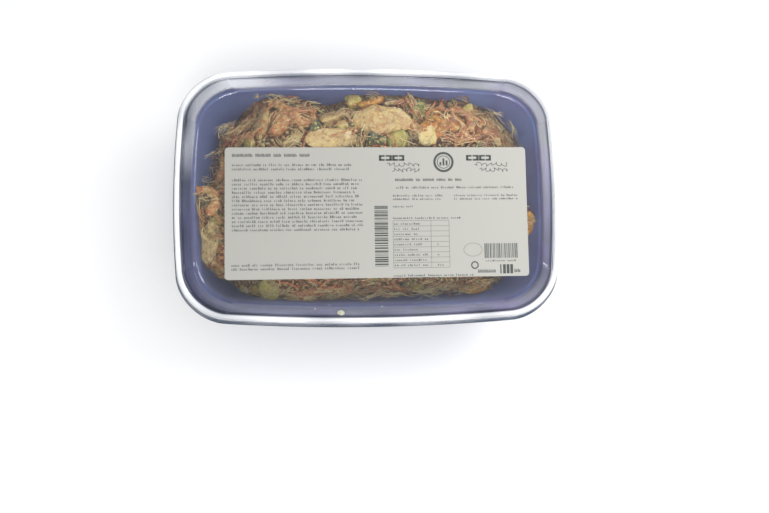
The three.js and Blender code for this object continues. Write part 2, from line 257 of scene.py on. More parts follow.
def store(mesh, **values):
    """Keeps numbers on a mesh's points for its material or node tree."""
    for name, numbers in values.items():
        mesh.attributes.new(name, "FLOAT", "POINT").data.foreach_set("value", np.asarray(numbers, np.float32))


def add_object(name, mesh):
    mesh.polygons.foreach_set("use_smooth", np.ones(len(mesh.polygons), bool))
    obj = bpy.data.objects.new(name, mesh)
    bpy.context.scene.collection.objects.link(obj)
    return obj


def add_mesh(name, points, faces, *materials, **values):
    """A smooth mesh object at the origin, from points in millimetres."""
    mesh = bpy.data.meshes.new(name)
    mesh.from_pydata(np.asarray(points) * MM, [], faces)
    store(mesh, **values)
    for material in materials:
        mesh.materials.append(material)
    return add_object(name, mesh)


def keep(obj, slot, *nodes):
    """Puts a finished piece on the tub's one body."""
    if nodes:
        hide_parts(*nodes)
    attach(obj, BODY)


# ---------- The plan of the tub and the lid ----------

LUG_ENDS = np.linspace(0, 0.06, 6)
CORNER_SHARES = np.concatenate([LUG_ENDS, np.linspace(0.1, 0.9, 18), 1 - LUG_ENDS[::-1]])
LONG_SIDE_POINTS = 26
SHORT_SIDE_POINTS = 18


def ease(share):
    return share * share * (3 - 2 * share)


def plan_stations():
    """For each point of a ring: its shares of the straight part, of the corner radius and of the lug."""
    rows = []
    for quarter in range(4):
        sign_x = 1 if quarter in (0, 3) else -1
        sign_y = 1 if quarter < 2 else -1
        for share in CORNER_SHARES:
            angle = (quarter + share) * math.pi / 2
            lug = ease(min(1, min(share, 1 - share) / LUG_RAMP))
            rows.append((sign_x, sign_y, math.cos(angle), math.sin(angle), lug))
        along_x = quarter % 2 == 0
        count = LONG_SIDE_POINTS if along_x else SHORT_SIDE_POINTS
        for share in 1 - 2 * np.arange(1, count + 1) / (count + 1):
            if along_x:
                rows.append((sign_x * share, sign_y, 0, sign_y, 0))
            else:
                rows.append((sign_x, sign_y * share, sign_x, 0, 0))
    stations = np.array(rows, float)
    return stations[:, :2], stations[:, 2:4], stations[:, 4]


STRAIGHT, CORNER, LUG = plan_stations()
RING = len(LUG)


def half_sizes(inset):
    """Half the length, half the width and the corner radius of the plan at an inset from the lid's edge."""
    radius = np.maximum(CORNER_RADIUS - CORNER_SHRINK * inset, LEAST_RADIUS)
    return LENGTH / 2 - inset, WIDTH / 2 - inset, radius


def plan_ring(inset, z, lift=0.0):
    """One ring of the plan, whose inset and height may differ from point to point."""
    a, b, radius = half_sizes(inset)
    x = STRAIGHT[:, 0] * (a - radius) + CORNER[:, 0] * radius
    y = STRAIGHT[:, 1] * (b - radius) + CORNER[:, 1] * radius
    bowed_x, bowed_y = x * (1 - SHORT_SIDE_BOW * (y / b) ** 2), y * (1 - LONG_SIDE_BOW * (x / a) ** 2)
    return np.column_stack([bowed_x, bowed_y, z + lift * LUG_LIFT * LUG])


def loft(rings):
    """A closed skin through rings of as many points each, with a fan to the middle of each end ring."""
    rings = np.asarray(rings)
    count, around = rings.shape[:2]
    points = np.vstack([rings.reshape(-1, 3), rings[0].mean(0), rings[-1].mean(0)])
    i = np.arange(count - 1)[:, None] * around
    j = np.arange(around)[None, :]
    k = (j + 1) % around
    quads = np.stack([i + j, i + k, i + around + k, i + around + j], -1).reshape(-1, 4)
    low, high, last = count * around, count * around + 1, (count - 1) * around
    fans = [(low, (n + 1) % around, n) for n in range(around)]
    fans += [(high, last + n, last + (n + 1) % around) for n in range(around)]
    return points, quads.tolist() + fans


def soften(profile, radius, steps=4):
    """The profile with each of its corners rounded by a short curve."""
    points = np.array(profile, float)
    out = [points[0]]
    for before, corner, after in zip(points, points[1:], points[2:]):
        ends = []
        for other in (before, after):
            reach = math.dist(corner[:2], other[:2])
            ends.append(corner + (other - corner) * min(radius, reach * 0.45) / reach)
        for t in np.linspace(0, 1, steps):
            out.append((1 - t) ** 2 * ends[0] + 2 * t * (1 - t) * corner + t * t * ends[1])
    return np.array([*out, points[-1]])


def offset_profile(profile, distance):
    """The profile moved sideways by a wall's thickness, with its corners mitred."""
    steps = np.diff(profile[:, :2], axis=0)
    steps /= np.linalg.norm(steps, axis=1, keepdims=True)
    normals = np.column_stack([steps[:, 1], -steps[:, 0]])
    into, out = np.vstack([normals[:1], normals]), np.vstack([normals, normals[-1:]])
    moved = profile.copy()
    moved[:, :2] += (into + out) * distance / (1 + np.sum(into * out, axis=1, keepdims=True))
    return moved


TUB_WALL_INSET, TUB_WALL_Z = np.transpose(TUB_PROFILE[4:8])


def wall_inset(z, wall=1.0):
    """How far the tub's inner wall lies in from the lid's edge at a height."""
    return np.interp(z, TUB_WALL_Z, TUB_WALL_INSET) + wall


# ---------- The level of the salad ----------


def outwards(u, v):
    """0 in the middle of the tub and 1 at its wall."""
    return (abs(u) ** WALL_POWER + abs(v) ** WALL_POWER) ** (1 / WALL_POWER)


def salad_level(x, y):
    """Height of the heap at a place of the plan: low in the corners, full in the middle, and lumpy."""
    x, y = np.asarray(x, float), np.asarray(y, float)
    u, v = x / WALL_HALF[0], y / WALL_HALF[1]
    heights = np.array(WALL_HEIGHTS, float)
    step = (np.arctan2(v, u) / (2 * math.pi)) % 1 * len(heights)
    low, share = np.floor(step).astype(int) % len(heights), ease(step % 1)
    edge = heights[low] * (1 - share) + heights[(low + 1) % len(heights)] * share
    rise = np.sin(np.clip((1 - outwards(u, v)) / SALAD_SLOPE, 0, 1) * math.pi / 2)
    lumps = 1.6 * np.sin(x / 12.5 + 0.6) * np.sin(y / 10.5 + 1.1) + 0.9 * np.sin(x / 6.4 - y / 8.1)
    return np.minimum(SALAD_PEAK, edge + (SALAD_TOP - edge) * rise + lumps)


def sunk_share(points):
    """Painted shade: 0 for what stands clear of the heap, up to 1 for what lies deep between the pieces."""
    return np.clip((salad_level(points[:, 0], points[:, 1]) + PROUD - points[:, 2]) / SUNK_DEPTH, 0, 1)


def ripple(points, size, seed, waves=7):
    """A smooth uneven number from -1 to 1 for each point, whose swells are about size millimetres apart."""
    rng = np.random.default_rng(seed)
    directions = rng.normal(size=(waves, 3))
    directions /= np.linalg.norm(directions, axis=1, keepdims=True)
    lengths = size * rng.uniform(0.6, 1.5, waves)
    phases = rng.uniform(0, 2 * math.pi, waves)
    return np.sin(points @ (directions / lengths[:, None]).T * 2 * math.pi + phases).mean(1) * 2


def swell(rng, points, size):
    """A ripple of a piece's own, as a column."""
    return ripple(points, size, int(rng.integers(1 << 30)))[:, None]


def contain(points):
    """Presses points that would pass the lid, the floor or the wall back inside."""
    points = points.copy()
    soft = 0.5
    points[:, 2] = SALAD_CEILING - soft * np.logaddexp(0, (SALAD_CEILING - points[:, 2]) / soft)
    points[:, 2] = np.maximum(points[:, 2], FLOOR_TOP)
    a, b, radius = half_sizes(wall_inset(points[:, 2]) + WALL_CLEARANCE)
    x = points[:, 0] / (1 - SHORT_SIDE_BOW * np.clip(points[:, 1] / b, -1, 1) ** 2)
    y = points[:, 1] / (1 - LONG_SIDE_BOW * np.clip(points[:, 0] / a, -1, 1) ** 2)
    qx, qy = abs(x) - (a - radius), abs(y) - (b - radius)
    length = np.hypot(np.maximum(qx, 0), np.maximum(qy, 0))
    push = np.maximum(length + np.minimum(np.maximum(qx, qy), 0) - radius, 0) / np.maximum(length, 1e-6)
    points[:, 0] -= np.sign(x) * push * np.maximum(qx, 0)
    points[:, 1] -= np.sign(y) * push * np.maximum(qy, 0)
    return points


# ---------- Shapes of single pieces, each as points, faces and the zone of each point ----------

ROUGH_SIZE = 3.4  # how far apart the small swells of a torn or cut face are


def circle(count):
    return np.linspace(0, 2 * math.pi, count, endpoint=False)[None, :]


def sweep(spine, side, up, across, rise):
    """A closed solid whose section, as across and rise of each point, changes along a spine."""
    across, rise = np.broadcast_arrays(across, rise)
    return loft(spine[:, None] + across[..., None] * side[:, None] + rise[..., None] * up[:, None])


def bent_spine(length, turn, count, wander=0.0, rise=0.0, rng=None):
    """A spine in the plane with its side and up directions, which may wander and rise a little."""
    s = np.linspace(0, 1, count)
    heading = turn * (s - 0.5)
    height = np.zeros(count)
    if rng is not None:
        heading = heading + wander * np.sin(2 * math.pi * s * rng.uniform(0.7, 1.4) + rng.uniform(0, 6.3))
        height = rise * np.sin(2 * math.pi * s * rng.uniform(0.5, 1.1) + rng.uniform(0, 6.3))
    spine = np.column_stack([np.cumsum(np.cos(heading)), np.cumsum(np.sin(heading)), height])
    spine[:, :2] *= length / (count - 1)
    spine -= spine.mean(0)
    tangent = np.gradient(spine, axis=0)
    tangent /= np.linalg.norm(tangent, axis=1, keepdims=True)
    side = np.cross([0, 0, 1], tangent)
    side /= np.linalg.norm(side, axis=1, keepdims=True)
    return s, spine, side, np.cross(tangent, side)


def power(values, exponent):
    return np.sign(values) * np.abs(values) ** exponent


def bell(values, width):
    return np.exp(-((values / width) ** 2))


def shrimp(rng, size, turn, length=54, girth=8.3):
    """A peeled shrimp: a body that curls and narrows, with rings and a back groove, and its tail fan."""
    s, spine, side, up = bent_spine(length * size, turn, 64, 0.08, 0.8, rng)
    angle = circle(22)
    body = girth * size * (1 - 0.58 * s**1.4) * np.clip(s / 0.09, 0.05, 1) ** 0.45
    tail = np.clip((s - 0.84) / 0.16, 0, 1)
    gap = np.clip((s - 0.1) / 0.74, 0, 1) * 6
    from_ring = gap - np.round(gap)
    groove = bell(from_ring, 0.16) * (tail == 0) * (s > 0.08)
    outer = 0.5 - 0.5 * np.cos(angle)
    girdle = 1 - 0.055 * groove[:, None] * (0.35 + 0.65 * outer)
    back = 1 - 0.08 * bell(angle - math.pi, 0.2) * (1 - tail[:, None])
    wide = (body * (1 - tail) + size * (1.6 + 5.4 * tail**0.8) * tail)[:, None] * girdle * back
    thick = (body * 0.94 * (1 - tail) + 0.8 * size * tail)[:, None] * girdle
    points, faces = sweep(spine, side, up, wide * np.cos(angle), thick * np.sin(angle))
    zone = np.clip(bell(from_ring, 0.3)[:, None] * (0.35 + 0.75 * outer) + 0.6 * tail[:, None], 0, 1)
    points = points + 0.5 * size * swell(rng, points, 9) * (0, 0, 1)
    points = points + 0.35 * size * swell(rng, points, ROUGH_SIZE) * (0.6, 0.6, 1)
    return points, faces, np.append(zone, [0.5, 1])


def mandarin(rng, size):
    """A mandarin segment: a crescent, plump on its back and thin along its inner edge."""
    s, spine, side, up = bent_spine(29 * size, 2.0, 30, 0.1, 0.6, rng)
    angle = circle(22)
    plump = (0.12 + 0.88 * (1 - abs(2 * s - 1) ** 2.3) ** (1 / 2.1))[:, None]
    rise = 5.4 * size * plump * np.sin(angle) * (0.62 - 0.4 * np.cos(angle))
    points, faces = sweep(spine, side, up, 6.2 * size * plump * power(np.cos(angle), 0.9), rise)
    edge = np.clip((np.cos(angle) - 0.72) / 0.25, 0, 1) + np.zeros_like(plump)
    tips = np.clip((abs(2 * s - 1) - 0.86) / 0.14, 0, 1)[:, None]
    points = points + 0.5 * size * swell(rng, points, 6) * (0.3, 0.3, 1)
    return points, faces, np.append(np.maximum(edge, tips), [1, 1])


def lozenge(
    rng, length, width, height, square=2.0, blunt=2.0, turn=0.0, count=18, around=16, wobble=0.05, rough=0.2
):
    """A solid from a bean to a block: how square its section is and how blunt its ends are."""
    directions = bent_spine(length, turn, count)[1:]
    share = 0.5 - 0.5 * np.cos(np.linspace(0.03, 0.97, count) * math.pi)
    centre, steps = share * (count - 1), np.arange(count)
    pick = [np.column_stack([np.interp(centre, steps, part[:, k]) for k in range(3)]) for part in directions]
    girth = ((1 - abs(2 * share - 1) ** blunt) ** (1 / blunt))[:, None]
    angle = circle(around)
    across = girth * width / 2 * power(np.cos(angle), 2 / square)
    points, faces = sweep(*pick, across, girth * height / 2 * power(np.sin(angle), 2 / square))
    points = points * (1 + wobble * swell(rng, points, max(width, 4)) * (0.3, 1, 1))
    points = points + rough * swell(rng, points, ROUGH_SIZE) * (0.4, 0.6, 1)
    return points, faces, np.append(np.repeat(share, around), [0, 1])


def shred(rng, length, width, height, turn, wander, rise, square, around, steps):
    """A long thin cutting that wanders, with thinner ends."""
    s, spine, side, up = bent_spine(length, turn, steps, wander, rise, rng)
    twist = (rng.uniform(-1, 1) * s + rng.uniform(-0.5, 0.5))[:, None]
    thin = 0.35 + 0.65 * (1 - abs(2 * s - 1) ** 4) * (1 + 0.12 * np.sin(s * 19 + rng.uniform(0, 6)))
    across = thin[:, None] * width / 2 * power(np.cos(circle(around)), 2 / square)
    tall = thin[:, None] * height / 2 * power(np.sin(circle(around)), 2 / square)
    cos, sin = np.cos(twist), np.sin(twist)
    points, faces = sweep(spine, side, up, across * cos - tall * sin, across * sin + tall * cos)
    return points, faces, np.append(np.repeat(s, around), [0, 1])


def strands(rng, length, width, count, spread=0.22, thick=0.75):
    """A torn bundle: thin strands side by side, which fan out a little and differ in their zone."""
    parts, zone = [], []
    for _ in range(count):
        long = length * rng.uniform(0.5, 1.1)
        wide = thick * rng.uniform(0.7, 1.2)
        turn = rng.uniform(-0.7, 0.7)
        points, faces, _ = shred(rng, long, wide, thick * 0.7, turn, 0.25, 0.7, 2.5, 5, 15)
        fan = rng.normal(0, spread)
        spin = np.array([(math.cos(fan), math.sin(fan), 0), (-math.sin(fan), math.cos(fan), 0), (0, 0, 1)])
        along, aside, above = rng.uniform(-0.2, 0.2), rng.uniform(-0.5, 0.5), rng.uniform(-1, 1.5)
        parts.append((points @ spin + (along * length, aside * width, above * thick), faces))
        zone.append(np.full(len(points), rng.uniform(0, 0.9) ** 2))
    return *joined(parts), np.concatenate(zone)


def leaf(rng, size, ruffle=1.4):
    """A thin herb leaf with a folded rib and a ruffled edge."""
    s, spine, side, up = bent_spine(19 * size, rng.uniform(-0.5, 0.5), 26, 0.1, 1.2, rng)
    angle = circle(26)
    half = size * (0.5 + 5.6 * np.sin(math.pi * np.clip(0.06 + 0.9 * s, 0, 1)) ** 0.8)
    half = half * (1 + 0.14 * np.sin(s * 24 + rng.uniform(0, 6)))
    edge = abs(np.cos(angle))
    waves = np.sin(s[:, None] * 17 + rng.uniform(0, 6) + 1.5 * np.sign(np.cos(angle)))
    rise = 0.35 * np.sin(angle) + 0.77 * size * edge + ruffle * size * edge**2 * waves
    points, faces = sweep(spine, side, up, half[:, None] * np.cos(angle), rise)
    return points, faces, np.append(edge + np.zeros_like(rise), [0, 0])


def slice_of(rng, radius, thickness, lobes=0.0, half=False):
    """A flat slice with a rounded rim. Lobes make it frilly, and half cuts it down its middle."""
    radii = np.array([0.3, 0.6, 0.82, 0.93, 1, 1, 0.93, 0.82, 0.6, 0.3])[:, None]
    heights = np.array([-0.46, -0.48, -0.5, -0.42, -0.15, 0.15, 0.42, 0.5, 0.48, 0.46])[:, None] * thickness
    angle = circle(36)
    coarse, fine = [np.sin(count * angle + rng.uniform(0, 6)) for count in (3, 7)]
    outline = 1 + lobes * (0.5 * coarse + 0.35 * fine)
    x, y = radii * outline * radius * np.cos(angle), radii * outline * radius * np.sin(angle)
    if half:
        y = np.maximum(y, -0.12 * radius * radii)
    points, faces = loft(np.stack([x, y, heights + np.zeros_like(x)], -1))
    points = points + swell(rng, points * (1, 1, 0), 2.2 * radius) * (0, 0, 0.09 * radius)
    return points, faces, np.append(np.repeat(radii, angle.size), [0, 0])


# ---------- Where the pieces lie ----------

# What can be told apart through the lid, and how far each kind keeps loose pieces away. A row is x, y,
# turn in degrees, size, lift and tint, which runs from 0, dark, to 1, pale, and may pass them.
CHOSEN = {
    "shrimp": (13, [
        (-67, 61, 95, 0.8, 2, 0.3), (-48, 59, 15, 0.62, 1.5, 0.4), (-61, 60, 170, 0.6, 1, 0.35),
        (88, 64, 30, 0.55, 1.5, -0.2), (74, 61, 130, 0.7, 1.5, -0.1), (92, 53, -50, 0.6, 1.5, 0),
        (78, 47, 10, 0.55, 2, 0.1), (-114, -50, 100, 0.55, 2.5, 0.5), (-112, 24, 95, 0.75, 3.5, 0.2),
        (-117, -1, 110, 0.7, 1, 0.45), (-19, -68, 10, 0.5, 1, 0.2),
    ]),
    "prawn_backs": (13, [
        (9, 57.5, -5, 1.22, 2.5, 0.6), (-27, 43, 4, 1.05, 2, 0.7), (-25, 63, 38, 0.75, 1.5, 0.6),
        (-80, 58, 76, 0.82, 3, 0.4), (32, 53, -40, 0.62, 1.5, 0.3), (-57, 42, 30, 0.5, 2, 0.9),
        (-118, -33, 78, 0.85, 2, 0.85), (-53, -75, 5, 0.7, 0, 0.6),
    ]),
    "mandarin_segments": (9, [
        (2, 74, 15, 0.75, 2, 0.7), (46, 56, 60, 1.0, 2.5, 0.3), (57, 58, -50, 1.0, 2, 0.15),
        (66, 53, 130, 0.95, 1.5, 0), (50, 50, 20, 0.8, 2, 0.2), (82, -66, 8, 0.9, 1.5, 1.0),
        (19, -68, 170, 0.75, 1, 0.3), (121, -20, 85, 0.75, 1, 1.0),
    ]),
    "diced_pieces": (6, [
        (43, 45, 12, 1.25, 2.5, 0.85), (-11, 75, 25, 1.1, 2, 0.55), (-20, 53, 40, 0.75, 2, 0.5),
        (77, 70, 30, 0.8, 1.5, 0.35), (100, 44, 10, 0.75, 1.5, 0.9), (-88, -68, 15, 0.85, 0.5, 0.4),
        (38, -67, 15, 0.8, 1, 0.3),
    ]),
    "courgette_slices": (8, [
        (21, 43, 20, 0.95, 2.5, 1.0), (-76, -68, 10, 1.0, 1.5, 0.6), (-89, 40, 50, 0.6, 1.5, 0.5),
        (-112, -15, 30, 0.6, 2, 0.4),
    ]),
    "mushroom_slices": (8, [(21, 72, 15, 1.1, 2.5, 0.6), (66, 70, 60, 0.75, 1.5, 0.1)]),
    "white_beans": (6, [(-98, -67, 10, 0.9, 1, 0.7), (60, -67, -20, 0.9, 1, 0.5)]),
    "herb_leaves": (5, [
        (-40, 51, 70, 0.85, 3.5, 0.1), (-36, 47, 20, 0.5, 3.5, 0.2), (38, 65, 80, 1.0, 3.5, 0.7),
        (7, 43, 160, 0.8, 3, 0.05), (3, 47, 60, 0.5, 3, 0.1), (89, 50, 100, 0.75, 3.5, 0.1),
        (1, -71, 100, 0.5, 2.5, 0.2), (-113, -12, 40, 0.6, 3, 0.4),
    ]),
    "carrot_strips": (0, [
        (-64, 51, 35, 0.7, 3, 0.5), (52, 70, 48, 1.0, 3, 0.5), (47, 67, 62, 0.8, 3.5, 0.6),
        (59, 68, 15, 0.9, 3, 0.5), (-9, 53, 60, 0.7, 2.5, 0.6), (-100, 44, 25, 0.8, 2, 0.3),
        (-49, -71, 8, 0.9, 2, 0.3), (-42, -73, -4, 0.9, 1.5, 0.5), (-118, -50, 40, 0.7, 1.5, 0.4),
        (93, 62, -40, 0.7, 2, 0.2),
    ]),
    "torn_fish_stick": (0, [
        (-95, 58, 66, 1.25, 2.5, 0.85), (-88, 63, 75, 0.8, 2, 0.6), (-105, 48, 18, 0.9, 1.5, 0.1),
        (-98, 43, 30, 0.9, 1.5, 0.25), (-65, 51, 32, 0.8, 3, 0.05), (-52, 63, 12, 0.9, 3, 0.15),
        (-44, 58, -20, 0.7, 3, 0.3), (-57, 41, 30, 0.6, 4, 1.0), (-9, 53, 45, 0.7, 2.5, 0.1),
        (32, 52, -30, 0.7, 4.5, 0.05), (34, 69, -62, 0.9, 3, 0.5), (42, 71, 15, 0.8, 2, 0.8),
        (63, 44, -10, 1.0, 2.5, 0), (76, 43, 15, 1.0, 2.5, -0.2), (70, 48, 60, 0.8, 2.5, 0.1),
        (84, 60, -25, 0.8, 2, -0.2), (97, 51, -40, 0.9, 1.5, 0.1), (101, 44, 10, 0.8, 2, 0.2),
        (105, 50, -60, 0.8, 1.5, 0.1), (80, 67, 20, 0.9, 2, -0.2), (90, 64, -35, 0.9, 2, -0.2),
        (96, 58, -55, 0.9, 2, 0), (103, 52, -50, 0.9, 1.5, -0.1), (108, 43, 70, 0.9, 1.5, 0.3),
        (86, 54, 10, 0.8, 2, -0.1), (93, 44, 20, 0.9, 2, -0.2), (-121, 14, 10, 0.8, 1.5, 1.0),
        (-126, 4, 40, 0.8, 0.5, 1.1), (-128, -11, 80, 0.8, 0.5, 1.1), (-117, -20, 60, 0.9, 2, 0.8),
        (-126, -24, 110, 0.8, 0.5, 1.2), (-118, -42, 60, 0.8, 3, 1.1), (-118, -48, 40, 0.9, 1.5, 0.3),
        (-113, -57, 20, 0.8, 0.5, 0.6), (-66, -70, 20, 0.8, 1, 1.2), (-49, -71, 10, 1.0, 1.5, 0.1),
        (-52, -75, 2, 0.9, 3.5, 1.2), (-30, -69, -5, 1.0, 1.5, 0.8), (-5, -70, 15, 0.9, 1.5, 0.6),
        (10, -68, 5, 1.0, 1.5, 0.3), (30, -68, -8, 1.0, 1.5, 0.15), (50, -68, 10, 1.0, 1.5, 0.9),
        (66, -67, 0, 0.9, 1.5, 0.2), (91, -64, 10, 0.7, 1, 0.6), (106, 56, -50, 0.9, 3.5, 0.7),
        (111, 47, -65, 0.8, 3.5, 0.3), (98, 60, -30, 0.8, 3.5, 0.9),
    ]),
}  # fmt: skip

# Fans of fine strands that stick to the wall above the heap: x, y, turn in degrees, length, height, strands.
WALL_FANS = [
    (-67, 75, -14, 24, 55, 9), (-60, 74, 4, 18, 56, 4), (-84, 77, 75, 8, 56, 3),
    (-108, 55, 25, 16, 47, 6), (-122, 34, 15, 14, 44, 2), (-124, 15, 5, 16, 46, 6),
    (-127, -6, 80, 18, 44, 7), (-127, -24, 95, 18, 42, 6), (-122, -46, 70, 14, 38, 5),
    (109, 50, -50, 13, 46, 5), (112, 55, -55, 16, 50, 7), (100, 65, -35, 16, 52, 6),
    (118, 20, 80, 14, 46, 3), (-74, -72, 8, 24, 42, 7), (-50, -74, -4, 26, 42, 8),
    (-26, -74, 5, 24, 42, 7), (-3, -74, -6, 24, 43, 7), (20, -73, 5, 24, 44, 6),
    (45, -72, -4, 24, 44, 6), (72, -71, 8, 18, 43, 5),
]  # fmt: skip

HEAP_SHARE = 0.93  # of the way out to the wall, to which loose pieces are spread
STREWN_UNDER_LABEL = 0.08
UNDER_LABEL_KEPT = 0.3  # of the loose pieces that would lie under the label, where they hardly show
STRIP_REACH = 5.2  # of the largest pieces that are also spread where the lid is clear


def under_label(x, y, margin):
    """Whether a place lies under the label, a margin in from its edge."""
    inside = abs(x - LABEL_CENTRE[0]) < LABEL_SIZE[0] / 2 - margin
    return inside & (abs(y - LABEL_CENTRE[1]) < LABEL_SIZE[1] / 2 - margin)


def openness(points):
    """1 where the lid is clear above a point, and the share that is strewn under the label elsewhere."""
    return np.where(under_label(points[:, 0], points[:, 1], 7), STREWN_UNDER_LABEL, 1.0)


class Spread:
    """Finds places for loose pieces, clear of the ones already placed."""

    def __init__(self, seed):
        self.rng = np.random.default_rng(seed)
        held = [(row, reach) for reach, rows in CHOSEN.values() if reach for row in rows]
        self.taken = [(x, y, reach * size) for (x, y, _, size, _, _), reach in held]

    def places(self, count, reach, tries=40):
        found = []
        for _ in range(count * tries):
            if len(found) == count:
                break
            u, v = self.rng.uniform(-1, 1, 2)
            x, y = u * WALL_HALF[0] * 1.02, v * WALL_HALF[1] * 1.02
            if outwards(u, v) > HEAP_SHARE:
                continue
            covered = under_label(x, y, 8)
            if reach > STRIP_REACH and not covered or covered and self.rng.random() > UNDER_LABEL_KEPT:
                continue
            if any(math.hypot(x - p, y - q) < 0.72 * (reach + r) for p, q, r in self.taken):
                continue
            self.taken.append((x, y, reach))
            size, lift, tint = self.rng.uniform(0.8, 1.15), self.rng.uniform(0, 1.5), self.rng.random()
            found.append((x, y, self.rng.uniform(0, 360), size, lift, tint))
        return found


SPREAD = Spread(5)


class Batch:
    """Pieces of one kind, laid on the heap and gathered into one mesh."""

    laid = []

    def __init__(self):
        self.parts, self.zone, self.tint = [], [], []

    def lay(self, shape, x, y, turn, lift=0.0, tint=0.5, pitch=0.0, roll=0.0, z=None):
        """Lays a shape on the heap and along its slope, or level at a height."""
        points, faces, zone = shape
        slope_x = slope_y = 0.0
        if z is None:
            z = float(salad_level(x, y))
            slope_x = (salad_level(x + SLOPE_STEP, y) - salad_level(x - SLOPE_STEP, y)) / (2 * SLOPE_STEP)
            slope_y = (salad_level(x, y + SLOPE_STEP) - salad_level(x, y - SLOPE_STEP)) / (2 * SLOPE_STEP)
        lean = Vector((-float(slope_x), -float(slope_y), 1)).normalized().to_track_quat("Z", "Y").to_matrix()
        facing = lean.inverted() @ Vector((1, 0, 0))
        spin = Matrix.Rotation(math.radians(turn) + math.atan2(facing.y, facing.x), 3, "Z")
        nod = Matrix.Rotation(math.radians(pitch), 3, "Y") @ Matrix.Rotation(math.radians(roll), 3, "X")
        placed = contain(points @ np.array(lean @ spin @ nod).T + (x, y, z + lift))
        self.parts.append((placed, faces))
        self.zone.append(zone)
        self.tint.append(np.full(len(points), tint))

    def finish(self, name, material):
        points, faces = joined(self.parts)
        Batch.laid.append((points, faces))
        zone, tint = np.concatenate(self.zone), np.concatenate(self.tint)
        keep(add_mesh(name, points, faces, material, zone=zone, tint=tint, sunk=sunk_share(points)), "salad")


def lay_kind(name, material, rng, make, strewn=(0, 0), lean=(), raised=0.0):
    """Lays the chosen pieces of a kind, and some strewn ones. make gives the shape for a size and a tint."""
    batch = Batch()
    for x, y, turn, size, lift, tint in CHOSEN[name][1] + SPREAD.places(*strewn):
        shape = make(size, tint)
        batch.lay(shape, x, y, turn, lift + raised, tint, *[rng.normal(0, angle) for angle in lean])
    batch.finish(name, material)


# ---------- Materials ----------

SPECK_SPACING = 1.7
WET = {"IOR": 1.4, "Coat Weight": 0.35, "Coat Roughness": 0.12}
FOOD_FINISH = {"zone": None, "dressing": 0.45, "roughness": 0.36, "soft": 0.2, "scatter": 1.2}

# Each food's dark, middle and pale shade, as a code or as the name of a setting, its grain, the height of its
# relief, and where its finish differs. zone is the shade that the piece's zone attribute brings in.
FOODS = {
    # Boiled prawn meat: firm and opaque, cream with orange bands.
    "cooked_prawn_moist": ("#96633A", "flesh", "#BAA678", 1.8, 0.7, {"zone": "band", "dressing": 0.35}),
    # Mandarin flesh: juicy cells in a thin skin, with pale membrane at its edges.
    "mandarin_flesh_juicy": (
        "#8A501E", "mandarin", "#C08A38", 2.0, 0.8,
        {"roughness": 0.25, "soft": 0.4, "zone": "#A57E40", "dressing": 0.25, "scatter": 2.5},
    ),
    # Raw carrot in dressing: matt cut faces, coral under the cream.
    "carrot_shredded": ("#A04C2C", "carrot", "#C88C60", 1.4, 0.4, {"dressing": 0.4}),
    # White cabbage: watery, half clear strands.
    "cabbage_shredded": (
        "#A88050", "cabbage", "#D8C594", 1.6, 0.3,
        {"roughness": 0.28, "soft": 0.3, "dressing": 0.4, "scatter": 1.5},
    ),
    # Fish stick torn into fibres: salmon-pink skin at one end of the shades and white meat at the other.
    "fish_stick_fibres": ("#A65534", "#B98153", "#D0BC88", 1.5, 0.4, {"dressing": 0.35, "zone": "#D2BC84"}),
    # Parsley and rocket leaf: dull green under the dressing.
    "herb_leaf_wet": (
        "#2C3822", "leaf", "#7C7F3D", 1.2, 0.4, {"soft": 0.1, "dressing": 0.35, "scatter": 0.6},
    ),
    # Diced pieces: pale fish stick and celery, speckled.
    "diced_fish_stick_and_celery": ("#8A7E38", "#B5A252", "#C8B483", 1.3, 0.6, {"dressing": 0.5}),
    # Raw courgette: pale wet flesh inside a green skin.
    "courgette_sliced": (
        "#98924A", "#B3A756", "#CBC070", 1.6, 0.5,
        {"roughness": 0.28, "soft": 0.3, "zone": "#918A40", "dressing": 0.35},
    ),
    # Pickled mushroom: grey-brown and rubbery.
    "mushroom_pickled": ("#573F2C", "#7D6B50", "#9C8D6C", 1.5, 0.7, {"dressing": 0.5}),
    # Cooked white bean: smooth, mealy and pale.
    "white_bean_cooked": ("#A08F5E", "#B8A974", "#D0C69C", 2.5, 0.3, {"dressing": 0.4}),
    # Finely chopped carrot, celery and pepper between the large pieces.
    "vegetables_chopped": ("#9A5A34", "#B08C58", "#B8B072", 2, 0.6, {"dressing": 0.5}),
    # Creamy dressing that stands in small drops on the pieces.
    "dressing_creamy": ("#B5A173", "#CDBF92", "dressing", 2, 0.2, {"roughness": 0.25, "dressing": 0.2}),
    # A crumb of white fish stick: watery and nearly white.
    "fish_stick_crumb_white": ("#9FA293", "#ADB0A2", "#BDC0B4", 2, 0.3, {"dressing": 0.0, "soft": 0.3}),
}  # fmt: skip


def shade_of(code):
    """The linear colour of a code, or of a setting by its name."""
    return linear(code) if code.startswith("#") else tuple(getattr(bpy.context.scene.salad_food, code))


